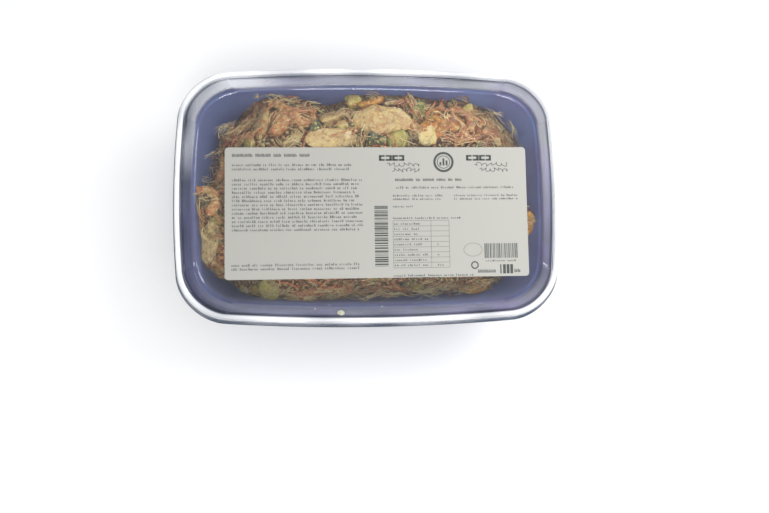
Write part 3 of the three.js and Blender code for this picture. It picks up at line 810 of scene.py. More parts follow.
def food(name):
    """Moist food: three shades by piece and by patch, broken dressing, light and dark specks and a wet gloss.

    What lies deep between the pieces is darker, as painted shade."""
    *shades, grain, bump, own = FOODS[name]
    dark, mid, pale = [shade_of(code) for code in shades]
    look = {**FOOD_FINISH, **own}
    node, finish = new_material(name)
    place = node("ShaderNodeTexCoord").outputs["Object"]
    labels = ("tint", "zone", "sunk")
    tint, zoned, sunk = [node("ShaderNodeAttribute", attribute_name=label).outputs["Fac"] for label in labels]
    patches = node(
        "ShaderNodeTexNoise",
        {"Vector": place, "Scale": per_metre(grain * 3), "Detail": 5, "Roughness": 0.7, "Distortion": 0.5},
    )
    centred = node("ShaderNodeMath", {0: patches, 1: 0.5}, operation="SUBTRACT")
    shade = node("ShaderNodeMath", {0: centred, 1: 3.0, 2: tint}, operation="MULTIPLY_ADD")
    colour = node("ShaderNodeValToRGB", {"Fac": shade}, stops=[(0.0, dark), (0.5, mid), (1.0, pale)])
    if look["zone"]:
        colour = node("ShaderNodeMix", {0: zoned, 6: colour, 7: shade_of(look["zone"])}, data_type="RGBA")
    film = node(
        "ShaderNodeTexNoise",
        {"Vector": place, "Scale": per_metre(5), "Detail": 8, "Roughness": 0.78, "Distortion": 0.8},
    )
    specks = node("ShaderNodeTexVoronoi", {"Vector": place, "Scale": per_metre(SPECK_SPACING)})
    pick = node("ShaderNodeSeparateColor", {0: specks.outputs["Color"]})
    cream, deep = shade_of("dressing"), scaled(dark, 0.55)
    layers = [
        (film, 0.5, 0.62, look["dressing"], cream),
        # Pale specks: cream dressing, and painted glints of the wet surface.
        (pick, 0.84, 0.9, 0.6, cream),
        # Dark specks: painted shade in small pits.
        (pick, 0.16, 0.1, 0.4, deep),
        (film, 0.44, 0.34, 0.22, deep),
        # Painted shade where a piece lies deep between the others.
        (sunk, 0.0, 1.0, 0.5, deep),
    ]
    for source, low, high, most, over in layers:
        reach = {0: source, 1: low, 2: high, 3: 0.0, 4: most}
        cover = node("ShaderNodeMapRange", reach, interpolation_type="SMOOTHSTEP")
        colour = node("ShaderNodeMix", {0: cover, 6: colour, 7: over}, data_type="RGBA")
    rough = {"Vector": place, "Scale": per_metre(grain), "Detail": 4, "Roughness": 0.7}
    fine = node("ShaderNodeTexNoise", rough)
    relief = node("ShaderNodeBump", {"Strength": 1.0, "Distance": bump * MM, "Height": fine})
    inside = {
        "Subsurface Weight": look["soft"], "Subsurface Scale": look["scatter"] * MM,
        "Subsurface Radius": (1.0, 0.6, 0.35),
    }  # fmt: skip
    skin = {"Base Color": colour, "Roughness": look["roughness"], "Normal": relief, **inside, **WET}
    return finish(node("ShaderNodeBsdfPrincipled", skin, subsurface_method="RANDOM_WALK"))


def mixed_salad():
    """What lies between the pieces: fine cuttings of everything, soaked in dressing."""
    node, finish = new_material("mixed_salad_in_dressing")
    place = node("ShaderNodeTexCoord").outputs["Object"]
    bend = node("ShaderNodeTexNoise", {"Vector": place, "Scale": per_metre(6), "Detail": 5, "Roughness": 0.7})
    bending = {0: bend.outputs["Color"], 1: (0.014, 0.014, 0.014), 2: place}
    bent = node("ShaderNodeVectorMath", bending, operation="MULTIPLY_ADD")
    bits = node("ShaderNodeTexVoronoi", {"Vector": bent, "Scale": per_metre(3.2), "Randomness": 1.0})
    pick = node("ShaderNodeSeparateColor", {0: bits.outputs["Color"]})
    kinds = [
        (0.0, "#8A5A34"), (0.2, "#AC683E"), (0.4, "#B5844E"), (0.58, "#B39A66"),
        (0.74, "#C8BA8E"), (0.88, "#888446"), (0.96, "#555A32"),
    ]  # fmt: skip
    colour = node("ShaderNodeValToRGB", {"Fac": pick}, stops=[(share, linear(code)) for share, code in kinds])
    # Painted shade in the gaps between the bits, darker towards each bit's edge.
    gaps = node("ShaderNodeMapRange", {0: bits, 1: 0.3, 2: 0.75, 3: 0.0, 4: 0.85})
    colour = node("ShaderNodeMix", {0: gaps, 6: colour, 7: linear("#5E442E")}, data_type="RGBA")
    relief = node("ShaderNodeBump", {"Strength": 1.0, "Distance": 1.6 * MM, "Height": bits}, invert=True)
    skin = {"Base Color": colour, "Roughness": 0.4, "Normal": relief, **WET}
    return finish(node("ShaderNodeBsdfPrincipled", skin))


def tub_plastic():
    """Translucent polypropylene, injection moulded: satin slate blue, clouded violet, grey at the rim."""
    pack = bpy.context.scene.salad_pack
    node, finish = new_material("polypropylene_moulded_slate")
    place = node("ShaderNodeTexCoord").outputs["Object"]
    along_x, _, height = node("ShaderNodeSeparateXYZ", {0: place}).outputs
    share = node("ShaderNodeMapRange", {0: height, 1: 0.0, 2: HEIGHT * MM, 3: 0.0, 4: 1.0})
    levels = [(0.0, pack.tub_deep), (0.55, pack.tub_high), (0.87, pack.tub_high), (0.9, pack.tub_rim)]
    colour = node("ShaderNodeValToRGB", {"Fac": share}, stops=levels)
    cloud = node("ShaderNodeTexNoise", {"Vector": place, "Scale": per_metre(30), "Detail": 4})
    cast = node("ShaderNodeMapRange", {0: cloud, 1: 0.38, 2: 0.66, 3: 0.0, 4: 0.75})
    # Painted shade towards the tub's left end.
    leftwards = node("ShaderNodeMapRange", {0: along_x, 1: -0.14, 2: 0.12, 3: 0.6, 4: 0.0})
    for cover, over in ((cast, pack.tub_violet), (leftwards, pack.tub_shaded)):
        colour = node("ShaderNodeMix", {0: cover, 6: colour, 7: over}, data_type="RGBA")
    grain = node("ShaderNodeTexNoise", {"Vector": place, "Scale": per_metre(14), "Detail": 2})
    relief = node("ShaderNodeBump", {"Strength": 0.25, "Distance": 0.3 * MM, "Height": grain})
    skin = {"Base Color": colour, "Roughness": 0.6, "IOR": 1.45, "Normal": relief}
    skin["Transmission Weight"] = 0.45
    wall = node("ShaderNodeBsdfPrincipled", skin)
    passing = node("ShaderNodeBsdfTransparent", {"Color": linear("#DDE1EC")})
    shadow = node("ShaderNodeLightPath").outputs["Is Shadow Ray"]
    part = node("ShaderNodeMath", {0: shadow, 1: 0.6}, operation="MULTIPLY")
    return finish(node("ShaderNodeMixShader", {0: part, 1: wall, 2: passing}))


def lid_plastic():
    """Clear polyester sheet, thermoformed: glassy, a little uneven, misted inside along its near side."""
    node, finish = new_material("polyester_sheet_clear")
    place = node("ShaderNodeTexCoord").outputs["Object"]
    along_y = node("ShaderNodeSeparateXYZ", {0: place}).outputs[1]
    misting = {0: along_y, 1: -80 * MM, 2: -35 * MM, 3: 0.07, 4: 0.03}
    near = node("ShaderNodeMapRange", misting, interpolation_type="SMOOTHSTEP")
    waves = node("ShaderNodeTexNoise", {"Vector": place, "Scale": per_metre(26), "Detail": 1})
    relief = node("ShaderNodeBump", {"Strength": 0.15, "Distance": 0.4 * MM, "Height": waves})
    labels = ("shade", "milky")
    shade, milky = [node("ShaderNodeAttribute", attribute_name=label).outputs["Fac"] for label in labels]
    # Painted shade greys the sheet, and painted glare makes it white and less clear.
    tint = node("ShaderNodeMix", {0: shade, 6: linear("#F9FAFC"), 7: linear("#566273")}, data_type="RGBA")
    glassy = node("ShaderNodeMath", {0: 1.0, 1: milky}, operation="SUBTRACT")
    skin = {"Base Color": tint, "Roughness": near, "IOR": 1.45, "Normal": relief}
    skin["Transmission Weight"] = glassy
    sheet = node("ShaderNodeBsdfPrincipled", skin)
    clear = node("ShaderNodeBsdfTransparent", {"Color": linear("#F8F9FB")})
    shadow = node("ShaderNodeLightPath").outputs["Is Shadow Ray"]
    return finish(node("ShaderNodeMixShader", {0: shadow, 1: sheet, 2: clear}))


def label_paper():
    """Thermal label paper: smooth, off-white and matt, with faint fibre."""
    node, finish = new_material("label_paper_coated")
    place = node("ShaderNodeTexCoord").outputs["Object"]
    weave = {"Vector": place, "Scale": per_metre(1.2), "Detail": 5, "Roughness": 0.7}
    fibre = node("ShaderNodeTexNoise", weave)
    along_x = node("ShaderNodeSeparateXYZ", {0: place})
    # Painted light: the paper is paler towards its right end, where more light falls.
    lit = node("ShaderNodeMapRange", {0: along_x, 1: -0.1, 2: 0.11, 3: 0.15, 4: 0.85})
    share = node("ShaderNodeMath", {0: fibre, 1: 0.3, 2: lit}, operation="MULTIPLY_ADD")
    paper = bpy.context.scene.salad_pack.paper
    colour = node("ShaderNodeMix", {0: share, 6: scaled(paper, 0.83), 7: paper}, data_type="RGBA")
    relief = node("ShaderNodeBump", {"Strength": 0.1, "Distance": 0.05 * MM, "Height": fibre})
    skin = {"Base Color": colour, "Roughness": 0.55, "IOR": 1.45, "Normal": relief}
    return finish(node("ShaderNodeBsdfPrincipled", skin))


def ink(name, colour):
    """Heat-developed print: dark grey, slightly uneven where the paper takes it less."""
    node, finish = new_material(name)
    place = node("ShaderNodeTexCoord").outputs["Object"]
    speck = node("ShaderNodeTexNoise", {"Vector": place, "Scale": per_metre(0.8), "Detail": 2})
    share = node("ShaderNodeMapRange", {0: speck, 1: 0.4, 2: 0.7, 3: 0.0, 4: 0.6})
    shade = node("ShaderNodeMix", {0: share, 6: colour, 7: scaled(colour, 1.7)}, data_type="RGBA")
    return finish(node("ShaderNodeBsdfPrincipled", {"Base Color": shade, "Roughness": 0.5, "IOR": 1.45}))


def painted_board(colour):
    """Matt painted board: pale, with a broad faint mottle."""
    node, finish = new_material("painted_board_matt")
    place = node("ShaderNodeTexCoord").outputs["Object"]
    mottle = node("ShaderNodeTexNoise", {"Vector": place, "Scale": per_metre(300), "Detail": 2})
    shade = node("ShaderNodeMix", {0: mottle, 6: scaled(colour, 0.98), 7: colour}, data_type="RGBA")
    return finish(node("ShaderNodeBsdfPrincipled", {"Base Color": shade, "Roughness": 0.8}))


# ---------- Geometry Nodes ----------


def new_tree(name, **defaults):
    """A geometry node tree with named inputs, as the tree, a function that adds its nodes, and its inputs."""
    tree = bpy.data.node_groups.new(name, "GeometryNodeTree")
    tree.interface.new_socket("Geometry", in_out="INPUT", socket_type="NodeSocketGeometry")
    for label, default in defaults.items():
        kind = "NodeSocketInt" if isinstance(default, int) else "NodeSocketFloat"
        tree.interface.new_socket(label, in_out="INPUT", socket_type=kind).default_value = default
    tree.interface.new_socket("Material", in_out="INPUT", socket_type="NodeSocketMaterial")
    tree.interface.new_socket("Geometry", in_out="OUTPUT", socket_type="NodeSocketGeometry")
    return tree, functools.partial(add_node, tree), tree.nodes.new("NodeGroupInput").outputs


def close_tree(node, given, geometry):
    """Ends a tree: instances made real, one material set, and the result handed out."""
    real = node("GeometryNodeRealizeInstances", {0: geometry})
    painted = node("GeometryNodeSetMaterial", {"Geometry": real, "Material": given["Material"]})
    node("NodeGroupOutput", {0: painted})


def bake(tree, base, **values):
    """Runs a tree on a mesh object with its named inputs set, and hands back the plain mesh."""
    modifier = base.modifiers.new(tree.name, "NODES")
    modifier.node_group = tree
    for item in tree.interface.items_tree:
        if item.in_out == "INPUT" and item.name in values:
            modifier[item.identifier] = values[item.name]
    depsgraph = bpy.context.evaluated_depsgraph_get()
    mesh = bpy.data.meshes.new_from_object(base.evaluated_get(depsgraph), depsgraph=depsgraph)
    base.modifiers.remove(modifier)
    return mesh


def strew(node, given, piece, where, tilt, sizes, wave, middle, sway):
    """The end of a tree that strews a piece over a surface, each with its own turn, size and tint.

    A noise of a wave's size then sways every point about its middle."""
    seed = given["Seed"]
    open_share = node("GeometryNodeInputNamedAttribute", {"Name": "open"}, data_type="FLOAT")
    spread = {
        "Mesh": given["Geometry"], "Selection": where, "Distance Min": given["Spacing"],
        "Density Max": given["Density"], "Density Factor": open_share, "Seed": seed,
    }  # fmt: skip
    points = node("GeometryNodeDistributePointsOnFaces", spread, distribute_method="POISSON")
    turns = {0: (-tilt, -tilt, 0.0), 1: (tilt, tilt, 2 * math.pi), "Seed": seed}
    spin = node("FunctionNodeRandomValue", turns, data_type="FLOAT_VECTOR")
    along = points.outputs["Rotation"]
    turned = node("FunctionNodeRotateRotation", {0: along, 1: spin}, rotation_space="LOCAL")
    laid = {"Points": points, "Instance": piece, "Rotation": turned, "Scale": sizes}
    placed = node("GeometryNodeInstanceOnPoints", laid)
    tint = node("FunctionNodeRandomValue", {2: 0.0, 3: 1.0, "Seed": seed}, data_type="FLOAT")
    marks = {"Geometry": placed, "Name": "tint", "Value": tint}
    marked = node("GeometryNodeStoreNamedAttribute", marks, data_type="FLOAT", domain="INSTANCE")
    real = node("GeometryNodeRealizeInstances", {0: marked})
    noise = node("ShaderNodeTexNoise", {"Scale": per_metre(wave), "Detail": 1.0})
    centred = node("ShaderNodeVectorMath", {0: noise.outputs["Color"], 1: middle}, operation="SUBTRACT")
    swayed = node("ShaderNodeVectorMath", {0: centred, "Scale": sway}, operation="SCALE")
    lifted = node("ShaderNodeCombineXYZ", {2: given["Lift"]})
    both = node("ShaderNodeVectorMath", {0: swayed, 1: lifted}, operation="ADD")
    close_tree(node, given, node("GeometryNodeSetPosition", {"Geometry": real, "Offset": both}))


def fleck_tree():
    """Small flat flecks strewn over whatever faces up, each with its own turn, size and tint."""
    tree, node, given = new_tree(
        "flecks_on_pieces", Spacing=0.002, Density=90000.0, Size=0.0012, Lift=0.0, Seed=1
    )  # fmt: skip
    upwards = node("ShaderNodeSeparateXYZ", {0: node("GeometryNodeInputNormal")}).outputs[2]
    facing = node("FunctionNodeCompare", {0: upwards, 1: 0.35}, operation="GREATER_THAN")
    blob = node("GeometryNodeMeshIcoSphere", {"Radius": given["Size"], "Subdivisions": 2})
    reach = {0: (0.4, 0.35, 0.2), 1: (1.2, 0.85, 0.5), "Seed": given["Seed"]}
    sizes = node("FunctionNodeRandomValue", reach, data_type="FLOAT_VECTOR")
    strew(node, given, blob, facing, 0.4, sizes, 1.5, (0.5, 0.5, 0.5), given["Size"])
    return tree


def shred_tree():
    """Bundles of curled strands over a surface, each lying along it with its own turn, size and tint."""
    tree, node, given = new_tree(
        "strand_bundles_on_heap", Spacing=0.008, Density=9000.0, Seed=1, Strands=4, Pitch=0.001, Fan=0.25,
        Radius=0.014, Sweep=1.6, Width=0.0009, Wander=0.004, Lift=0.001,
    )  # fmt: skip
    bow = {"Resolution": 10, "Radius": given["Radius"], "Sweep Angle": given["Sweep"]}
    arc = node("GeometryNodeCurveArc", bow, mode="RADIUS")
    girth = {"Resolution": 4, "Radius": given["Width"]}
    section = node("GeometryNodeCurvePrimitiveCircle", girth, mode="RADIUS")
    strand = node("GeometryNodeCurveToMesh", {"Curve": arc, "Profile Curve": section, "Fill Caps": True})
    apart = node("ShaderNodeCombineXYZ", {0: given["Pitch"], 2: given["Width"]})
    row = node("GeometryNodeMeshLine", {"Count": given["Strands"], "Offset": apart}, mode="OFFSET")
    least = node("ShaderNodeMath", {0: given["Fan"], 1: -1.0}, operation="MULTIPLY")
    fan = {2: least, 3: given["Fan"], "Seed": given["Seed"]}
    fanned = node("FunctionNodeRandomValue", fan, data_type="FLOAT")
    about = node("ShaderNodeCombineXYZ", {2: fanned})
    longer = node("FunctionNodeRandomValue", {2: 0.55, 3: 1.15, "Seed": given["Seed"]}, data_type="FLOAT")
    side_by_side = {"Points": row, "Instance": strand, "Rotation": about, "Scale": longer}
    bundle = node("GeometryNodeInstanceOnPoints", side_by_side)
    sizes = node("FunctionNodeRandomValue", {2: 0.6, 3: 1.2, "Seed": given["Seed"]}, data_type="FLOAT")
    strew(node, given, bundle, True, 0.25, sizes, 12, (0.5, 0.5, 0.3), given["Wander"])
    return tree


def print_tree():
    """Flat ink blocks, one on each given point, as wide and as tall as the point says."""
    tree, node, given = new_tree("rows_of_print", Thickness=0.00004)
    attribute = "GeometryNodeInputNamedAttribute"
    wide, tall = [node(attribute, {"Name": name}, data_type="FLOAT") for name in ("wide", "tall")]
    size = node("ShaderNodeCombineXYZ", {0: wide, 1: tall, 2: given["Thickness"]})
    block = node("GeometryNodeMeshCube", {"Size": (1.0, 1.0, 1.0)})
    on_line = node("GeometryNodeTransform", {"Geometry": block, "Translation": (0.5, 0.5, 0.5)})
    laid = {"Points": given["Geometry"], "Instance": on_line, "Scale": size}
    close_tree(node, given, node("GeometryNodeInstanceOnPoints", laid))
    return tree


# ---------- Operators ----------


def draws(context, step):
    """The random draws of one kind of piece."""
    return np.random.default_rng(context.scene.salad_food.seed + step)


class SALADTUB_OT_tub(bpy.types.Operator):
    """Make the slate-blue tub"""

    bl_idname = "salad_tub.tub"
    bl_label = "Tub"

    def execute(self, context):
        outer = soften(TUB_PROFILE, 0.9)
        inner = offset_profile(outer, context.scene.salad_pack.tub_wall / MM)
        points, faces = loft([plan_ring(u, z) for u, z in (*outer, *inner[::-1])])
        keep(add_mesh("tub_shell", points, faces, tub_plastic()), "tub_plastic", "tub")
        return {"FINISHED"}


class SALADTUB_OT_lid(bpy.types.Operator):
    """Make the clear lid with its rim, ledge, corner lugs and sunk panel"""

    bl_idname = "salad_tub.lid"
    bl_label = "Lid"
    PANEL_INSETS = (88, 74, 60, 48, 38, 30, 24, 20)
    SAG = 0.3

    def execute(self, context):
        upper = np.vstack([[(u, PANEL_Z, 0) for u in self.PANEL_INSETS], soften(LID_PROFILE, 1.3)])
        profile = np.vstack([offset_profile(upper, -context.scene.salad_pack.lid_wall / MM), upper[::-1]])
        points, faces = loft([plan_ring(*row) for row in profile])
        x, y = points[:, 0], points[:, 1]
        inside = np.clip((1 - np.hypot(x / 128, y / 81)) * 2.5, 0, 1)
        points[:, 2] -= self.SAG * inside * (0.6 + 0.4 * ripple(points * (1, 1, 0), 90, 3))
        shade, milky, ledge = [
            np.append(np.repeat(np.interp(profile[:, 0], *np.transpose(bands)), RING), [0, 0])
            for bands in (LID_SHADES, LID_MILKY, LID_LEDGE)
        ]
        # Painted reflection: grey streaks along the crest. Painted shade: the ledge darker towards its left
        # end.
        shade += 0.22 * ripple(points, 40, 5) * (shade > 0.04) + 0.4 * ledge * np.clip((-x - 100) / 30, 0, 1)
        # Painted glare on the ledge, in the patches that LEDGE_GLARES gives.
        for strength, along_x, along_y, start, span in LEDGE_GLARES:
            milky += strength * ledge * np.clip((along_x * x + along_y * y - start) / span, 0, 1)
        shell = add_mesh("lid_shell", points, faces, lid_plastic(), shade=shade, milky=milky)
        keep(shell, "lid_plastic", "lid")
        return {"FINISHED"}


class SALADTUB_OT_label(bpy.types.Operator):
    """Give the label its paper and its print"""

    bl_idname = "salad_tub.label"
    bl_label = "Label"
    INK_HEIGHT = 0.04

    # Rows of print: left, upper and lower line's foot, right end, rows, signs in a full row and height.
    BOLD_ROWS = [
        (-105.6, 41.2, 41.2, -49.4, 1, 30, 2.3), (12.7, 22.9, 22.9, 62.4, 1, 29, 1.9),
        (72.6, -45.4, -45.4, 87.8, 1, 9, 2.5), (99.8, -45.4, -45.4, 104.6, 1, 2, 2.5),
    ]  # fmt: skip
    SMALL_ROWS = [
        (-105.6, 34.3, 31.2, -19, 2, 62, 1.9), (-105.6, 23.2, -13.2, -11, 13, 66, 1.9),
        (-106, -38.6, -41.4, -14, 2, 62, 1.9), (13.3, 17.3, 17.3, 102.9, 1, 62, 1.7),
        (11, 11.4, 8.8, 47.9, 2, 26, 1.5), (56.2, 11.4, 8.8, 104.1, 2, 34, 1.5),
        (10.8, 3.4, 3.4, 26.3, 1, 11, 1.4), (10.7, -5.2, -5.2, 60.9, 1, 34, 1.4),
        (11.4, -9.4, -39.8, 37, 9, 16, 1.5), (43, -13, -39.8, 49.5, 8, 4, 1.4),
        (10.6, -47.4, -47.4, 69.5, 1, 40, 1.6), (78.6, -37.2, -37.2, 101.4, 1, 14, 1.2),
    ]  # fmt: skip
    TABLE_RULES = (-6.4, -10.4, -14.2, -18, -22, -25.8, -29.6, -33.4, -37.2, -41)
    TABLE_SIDES = (10.6, 38.5, 51.9)
    ROUND_MARK = (48.9, 37)

    def execute(self, context):
        pack = context.scene.salad_pack
        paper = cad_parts["label"]
        paper.data.materials.clear()
        paper.data.materials.append(label_paper())
        inks = ink("print_dark", pack.ink), ink("print_small", pack.thin_ink)
        self.parts = {False: [], True: []}  # blocks by whether they are small print
        self.write_rows(inks)
        self.draw_words()
        self.draw_codes()
        self.draw_table()
        points, faces = joined(self.parts[False] + self.parts[True])
        cos, sin = math.cos(LABEL_TURN), math.sin(LABEL_TURN)
        points = points @ np.array([(cos, sin, 0), (-sin, cos, 0), (0, 0, 1)]) + (*LABEL_CENTRE, LABEL_TOP)
        obj = add_mesh("label_print", points, faces, *inks)
        dark_faces = sum(len(some) for _, some in self.parts[False])
        small_faces = (np.arange(len(faces)) >= dark_faces).astype(np.int32)
        obj.data.polygons.foreach_set("material_index", small_faces)
        obj.data.polygons.foreach_set("use_smooth", np.zeros(len(faces), bool))
        keep(obj, "label_paper")
        return {"FINISHED"}

    def bar(self, left, top, right, bottom, small=False):
        """One upright block of ink."""
        self.prism([(left, bottom), (right, bottom), (right, top), (left, top)], small)

    def stroke(self, x, y, length, width, heading, small=False):
        """One block of ink about its middle, turned to a heading in radians."""
        corners = np.array([(-1, -1), (1, -1), (1, 1), (-1, 1)]) * (length / 2, width / 2)
        cos, sin = math.cos(heading), math.sin(heading)
        self.prism(corners @ np.array([(cos, sin), (-sin, cos)]) + (x, y), small)

    def prism(self, outline, small=False):
        """A flat prism of ink over an outline that runs anticlockwise."""
        count = len(outline)
        points = np.vstack([np.column_stack([outline, np.full(count, z)]) for z in (0, self.INK_HEIGHT)])
        faces = [tuple(range(count))[::-1], tuple(range(count, 2 * count))]
        faces += [(i, (i + 1) % count, count + (i + 1) % count, count + i) for i in range(count)]
        self.parts[small].append((points, faces))

    def ring(self, x, y, half_x, half_y, width, small=False, steps=28):
        """An oval line, made of short blocks."""
        for i in range(steps):
            angle = 2 * math.pi * (i + 0.5) / steps
            dx, dy = -half_x * math.sin(angle), half_y * math.cos(angle)
            length = 2 * math.pi * math.hypot(dx, dy) / steps * 1.1
            across, up = half_x * math.cos(angle), half_y * math.sin(angle)
            self.stroke(x + across, y + up, length, width, math.atan2(dy, dx), small)

    def write_rows(self, inks):
        """Rows of plain blocks in short groups, which give the tone of small print."""
        rng = np.random.default_rng(4)
        tree = print_tree()
        for small, rows in ((False, self.BOLD_ROWS), (True, self.SMALL_ROWS)):
            signs = np.array([sign for row in rows for sign in self.row_signs(rng, *row, not small)])
            x, y, wide, tall = signs.T
            base = add_mesh("print_base", np.column_stack([x, y, x * 0]), [], wide=wide * MM, tall=tall * MM)
            mesh = bake(tree, base, Thickness=self.INK_HEIGHT * MM, Material=inks[small])
            bpy.data.objects.remove(base)
            self.parts[small].append((points_of(mesh), [tuple(p.vertices) for p in mesh.polygons]))
            bpy.data.meshes.remove(mesh)

    @staticmethod
    def row_signs(rng, left, top, bottom, right, rows, signs, height, bold):
        """Foot corner, width and height of each block of some rows. A bold sign is two upright strokes."""
        pitch = (right - left) / signs
        found = []
        for y in np.linspace(top, bottom, rows):
            column = 0
            last = signs if rows < 3 else signs - rng.integers(0, 5)
            while column < last:
                for column in range(column, min(column + rng.integers(2, 11), last)):
                    x = left + column * pitch
                    tall = height * rng.choice([0.68, 0.68, 0.75, 1.0])
                    if bold:
                        found.append((x, y, 0.3 * pitch, height))
                        found.append((x + 0.48 * pitch, y, 0.3 * pitch, height * rng.uniform(0.55, 1)))
                        continue
                    found.append((x, y, pitch * rng.uniform(0.3, 0.5), tall))
                    if rng.random() < 0.6:
                        found.append((x + 0.5 * pitch, y, pitch * 0.28, tall * rng.uniform(0.3, 1)))
                column += 2
        return found

    def draw_words(self):
        """Two groups of large blocks, each with two loose looping lines under it."""
        for left in (1.1, 65.9):
            for i, (wide, tall) in enumerate([(4.2, 4.4), (4.6, 4.2), (4.4, 4.4), (4.0, 4.3)]):
                x = left + i * 4.9
                stem = x + (i % 2) * wide * 0.6
                self.bar(x, 42.3, x + wide, 42.3 - tall * 0.3)
                self.bar(x, 39.4, x + wide, 38.0)
                self.bar(stem, 41.4, stem + wide * 0.4, 38.8)
        for left, right, y in ((7, 31.5, 35.2), (11, 31.5, 31.2), (72, 97.5, 35.2), (76, 97.5, 31.2)):
            t = np.linspace(0, 1, 44)
            x = left + (right - left) * t + 0.9 * np.sin(t * 43)
            line = np.column_stack([x, y + 1.1 * np.sin(t * 37 + left) + 0.5 * np.sin(t * 13)])
            for start, end in zip(line, line[1:]):
                across, up = end - start
                length, heading = math.hypot(across, up) + 0.3, math.atan2(up, across)
                self.stroke(*(start + end) / 2, length, 0.44, heading, True)

    def draw_codes(self):
        """A ladder and a row of plain bars of uneven widths, two ovals and a round mark of three bars."""
        rng = np.random.default_rng(12)
        y = 4.6
        while y > -40:
            tall = rng.choice([0.35, 0.7, 1.05])
            self.bar(-2.9, y, 6.9, y - tall)
            y -= tall + rng.choice([0.35, 0.6, 0.9])
        x = 77.8
        while x < 101.8:
            wide = rng.choice([0.33, 0.66, 0.99])
            self.bar(x, -23.8, x + wide, -34.6, True)
            x += wide + rng.choice([0.33, 0.66])
        self.ring(69.3, -28.3, 6.8, 4.8, 0.25, True)
        self.ring(70.4, -39.7, 2.4, 2.4, 0.9, steps=18)
        turns = circle(40)[0]
        disc = np.column_stack([np.cos(turns), np.sin(turns)])
        inner, outer = [disc * radius + self.ROUND_MARK for radius in (5.9, 7.6)]
        for i in range(len(turns)):
            self.prism([inner[i - 1], outer[i - 1], outer[i], inner[i]])
        self.ring(*self.ROUND_MARK, 4.6, 4.6, 0.5)
        for x, tall in ((46.6, 2.6), (48.9, 5.4), (51.2, 3.8)):
            self.bar(x - 0.7, 34.4 + tall, x + 0.7, 34.4)

    def draw_table(self):
        """Ruled lines of a small table, and four tall blocks beside its foot."""
        for y in self.TABLE_RULES:
            self.bar(self.TABLE_SIDES[0], y + 0.12, self.TABLE_SIDES[-1], y - 0.12, True)
        for x in self.TABLE_SIDES:
            self.bar(x - 0.12, self.TABLE_RULES[0], x + 0.12, self.TABLE_RULES[-1], True)
        for x, wide in ((89.2, 0.9), (91.3, 2.1), (94, 2.1), (96.7, 2.1)):
            self.bar(x, -39.4, x + wide, -46.2)


class SALADTUB_OT_heap(bpy.types.Operator):
    """Make the heap's core, which fills the tub up to its wall"""

    bl_idname = "salad_tub.heap"
    bl_label = "Heap of salad"
    TOP_RINGS = 56
    SIDE_RINGS = 22
    FOOT_Z = 5.2  # up to here the core follows the tub's rounded foot
    RIM_Z = 40

    def execute(self, context):
        skin = offset_profile(soften(TUB_PROFILE, 0.9), context.scene.salad_pack.tub_wall / MM - WALL_BITE)
        rings = [plan_ring(u, z) for u, z in skin if z < 5]
        level = self.core_level(plan_ring(wall_inset(self.RIM_Z) - WALL_BITE, self.RIM_Z))
        for share in np.linspace(0, 1, self.SIDE_RINGS):
            z = self.FOOT_Z + (level - self.FOOT_Z) * share
            rings.append(plan_ring(wall_inset(z) - WALL_BITE, z))
        rim, below = rings[-1], len(rings)
        for share in np.linspace(1, 0.015, self.TOP_RINGS)[1:]:
            ring = rim * (share, share, 1)
            rings.append(np.column_stack([ring[:, :2], self.core_level(ring)]))
        points, faces = loft(rings)
        top = np.append(np.repeat(np.arange(len(rings)) >= below, RING), [False, True])
        bumps = 1.1 * ripple(points, 8, 1) + 0.7 * ripple(points, 4, 2)
        points[:, 2] += np.where(top, np.minimum(bumps, 0.8) - 0.6, 0)
        points[:, 2] = np.minimum(points[:, 2], SALAD_CEILING)
        keep(add_mesh("salad_core", points, faces, mixed_salad()), "salad", "salad")
        return {"FINISHED"}

    @staticmethod
    def core_level(ring):
        return np.maximum(salad_level(ring[:, 0], ring[:, 1]) - FILL_BITE, SALAD_LOWEST)


class SALADTUB_OT_prawns(bpy.types.Operator):
    """Lay the curled shrimp and the thick prawn backs"""

    bl_idname = "salad_tub.prawns"
    bl_label = "Shrimp and prawn backs"

    def execute(self, context):
        rng = draws(context, 0)

        def curled(size, _):
            return shrimp(rng, size * 0.85, rng.uniform(2.6, 4.0))

        def back(size, tint):
            turn = rng.uniform(-0.4, 0.4)
            shape = lozenge(rng, 38 * size, 17 * size, 8 * size, 2.6, 2.1, turn, 40, 28, 0.16, 0.35)
            points, faces, along = shape
            stripes = 0.1 * np.sin(along * 46) + 0.18 * ripple(points, 9, int(rng.integers(99)))
            zone = np.clip((along - 0.6) * 2.4, 0, 0.75) * (tint < 0.5) + stripes
            return points, faces, np.clip(zone, 0, 1)

        prawn = food("cooked_prawn_moist")
        lay_kind("shrimp", prawn, rng, curled, (5, 12), (8, 8))
        lay_kind("prawn_backs", prawn, rng, back, (3, 11), (6, 9))
        return {"FINISHED"}


class SALADTUB_OT_mandarins(bpy.types.Operator):
    """Lay the mandarin segments"""

    bl_idname = "salad_tub.mandarins"
    bl_label = "Mandarin segments"

    def execute(self, context):
        rng = draws(context, 1)
        flesh = food("mandarin_flesh_juicy")
        lay_kind("mandarin_segments", flesh, rng, lambda size, _: mandarin(rng, size), (6, 9), (12, 25))
        return {"FINISHED"}


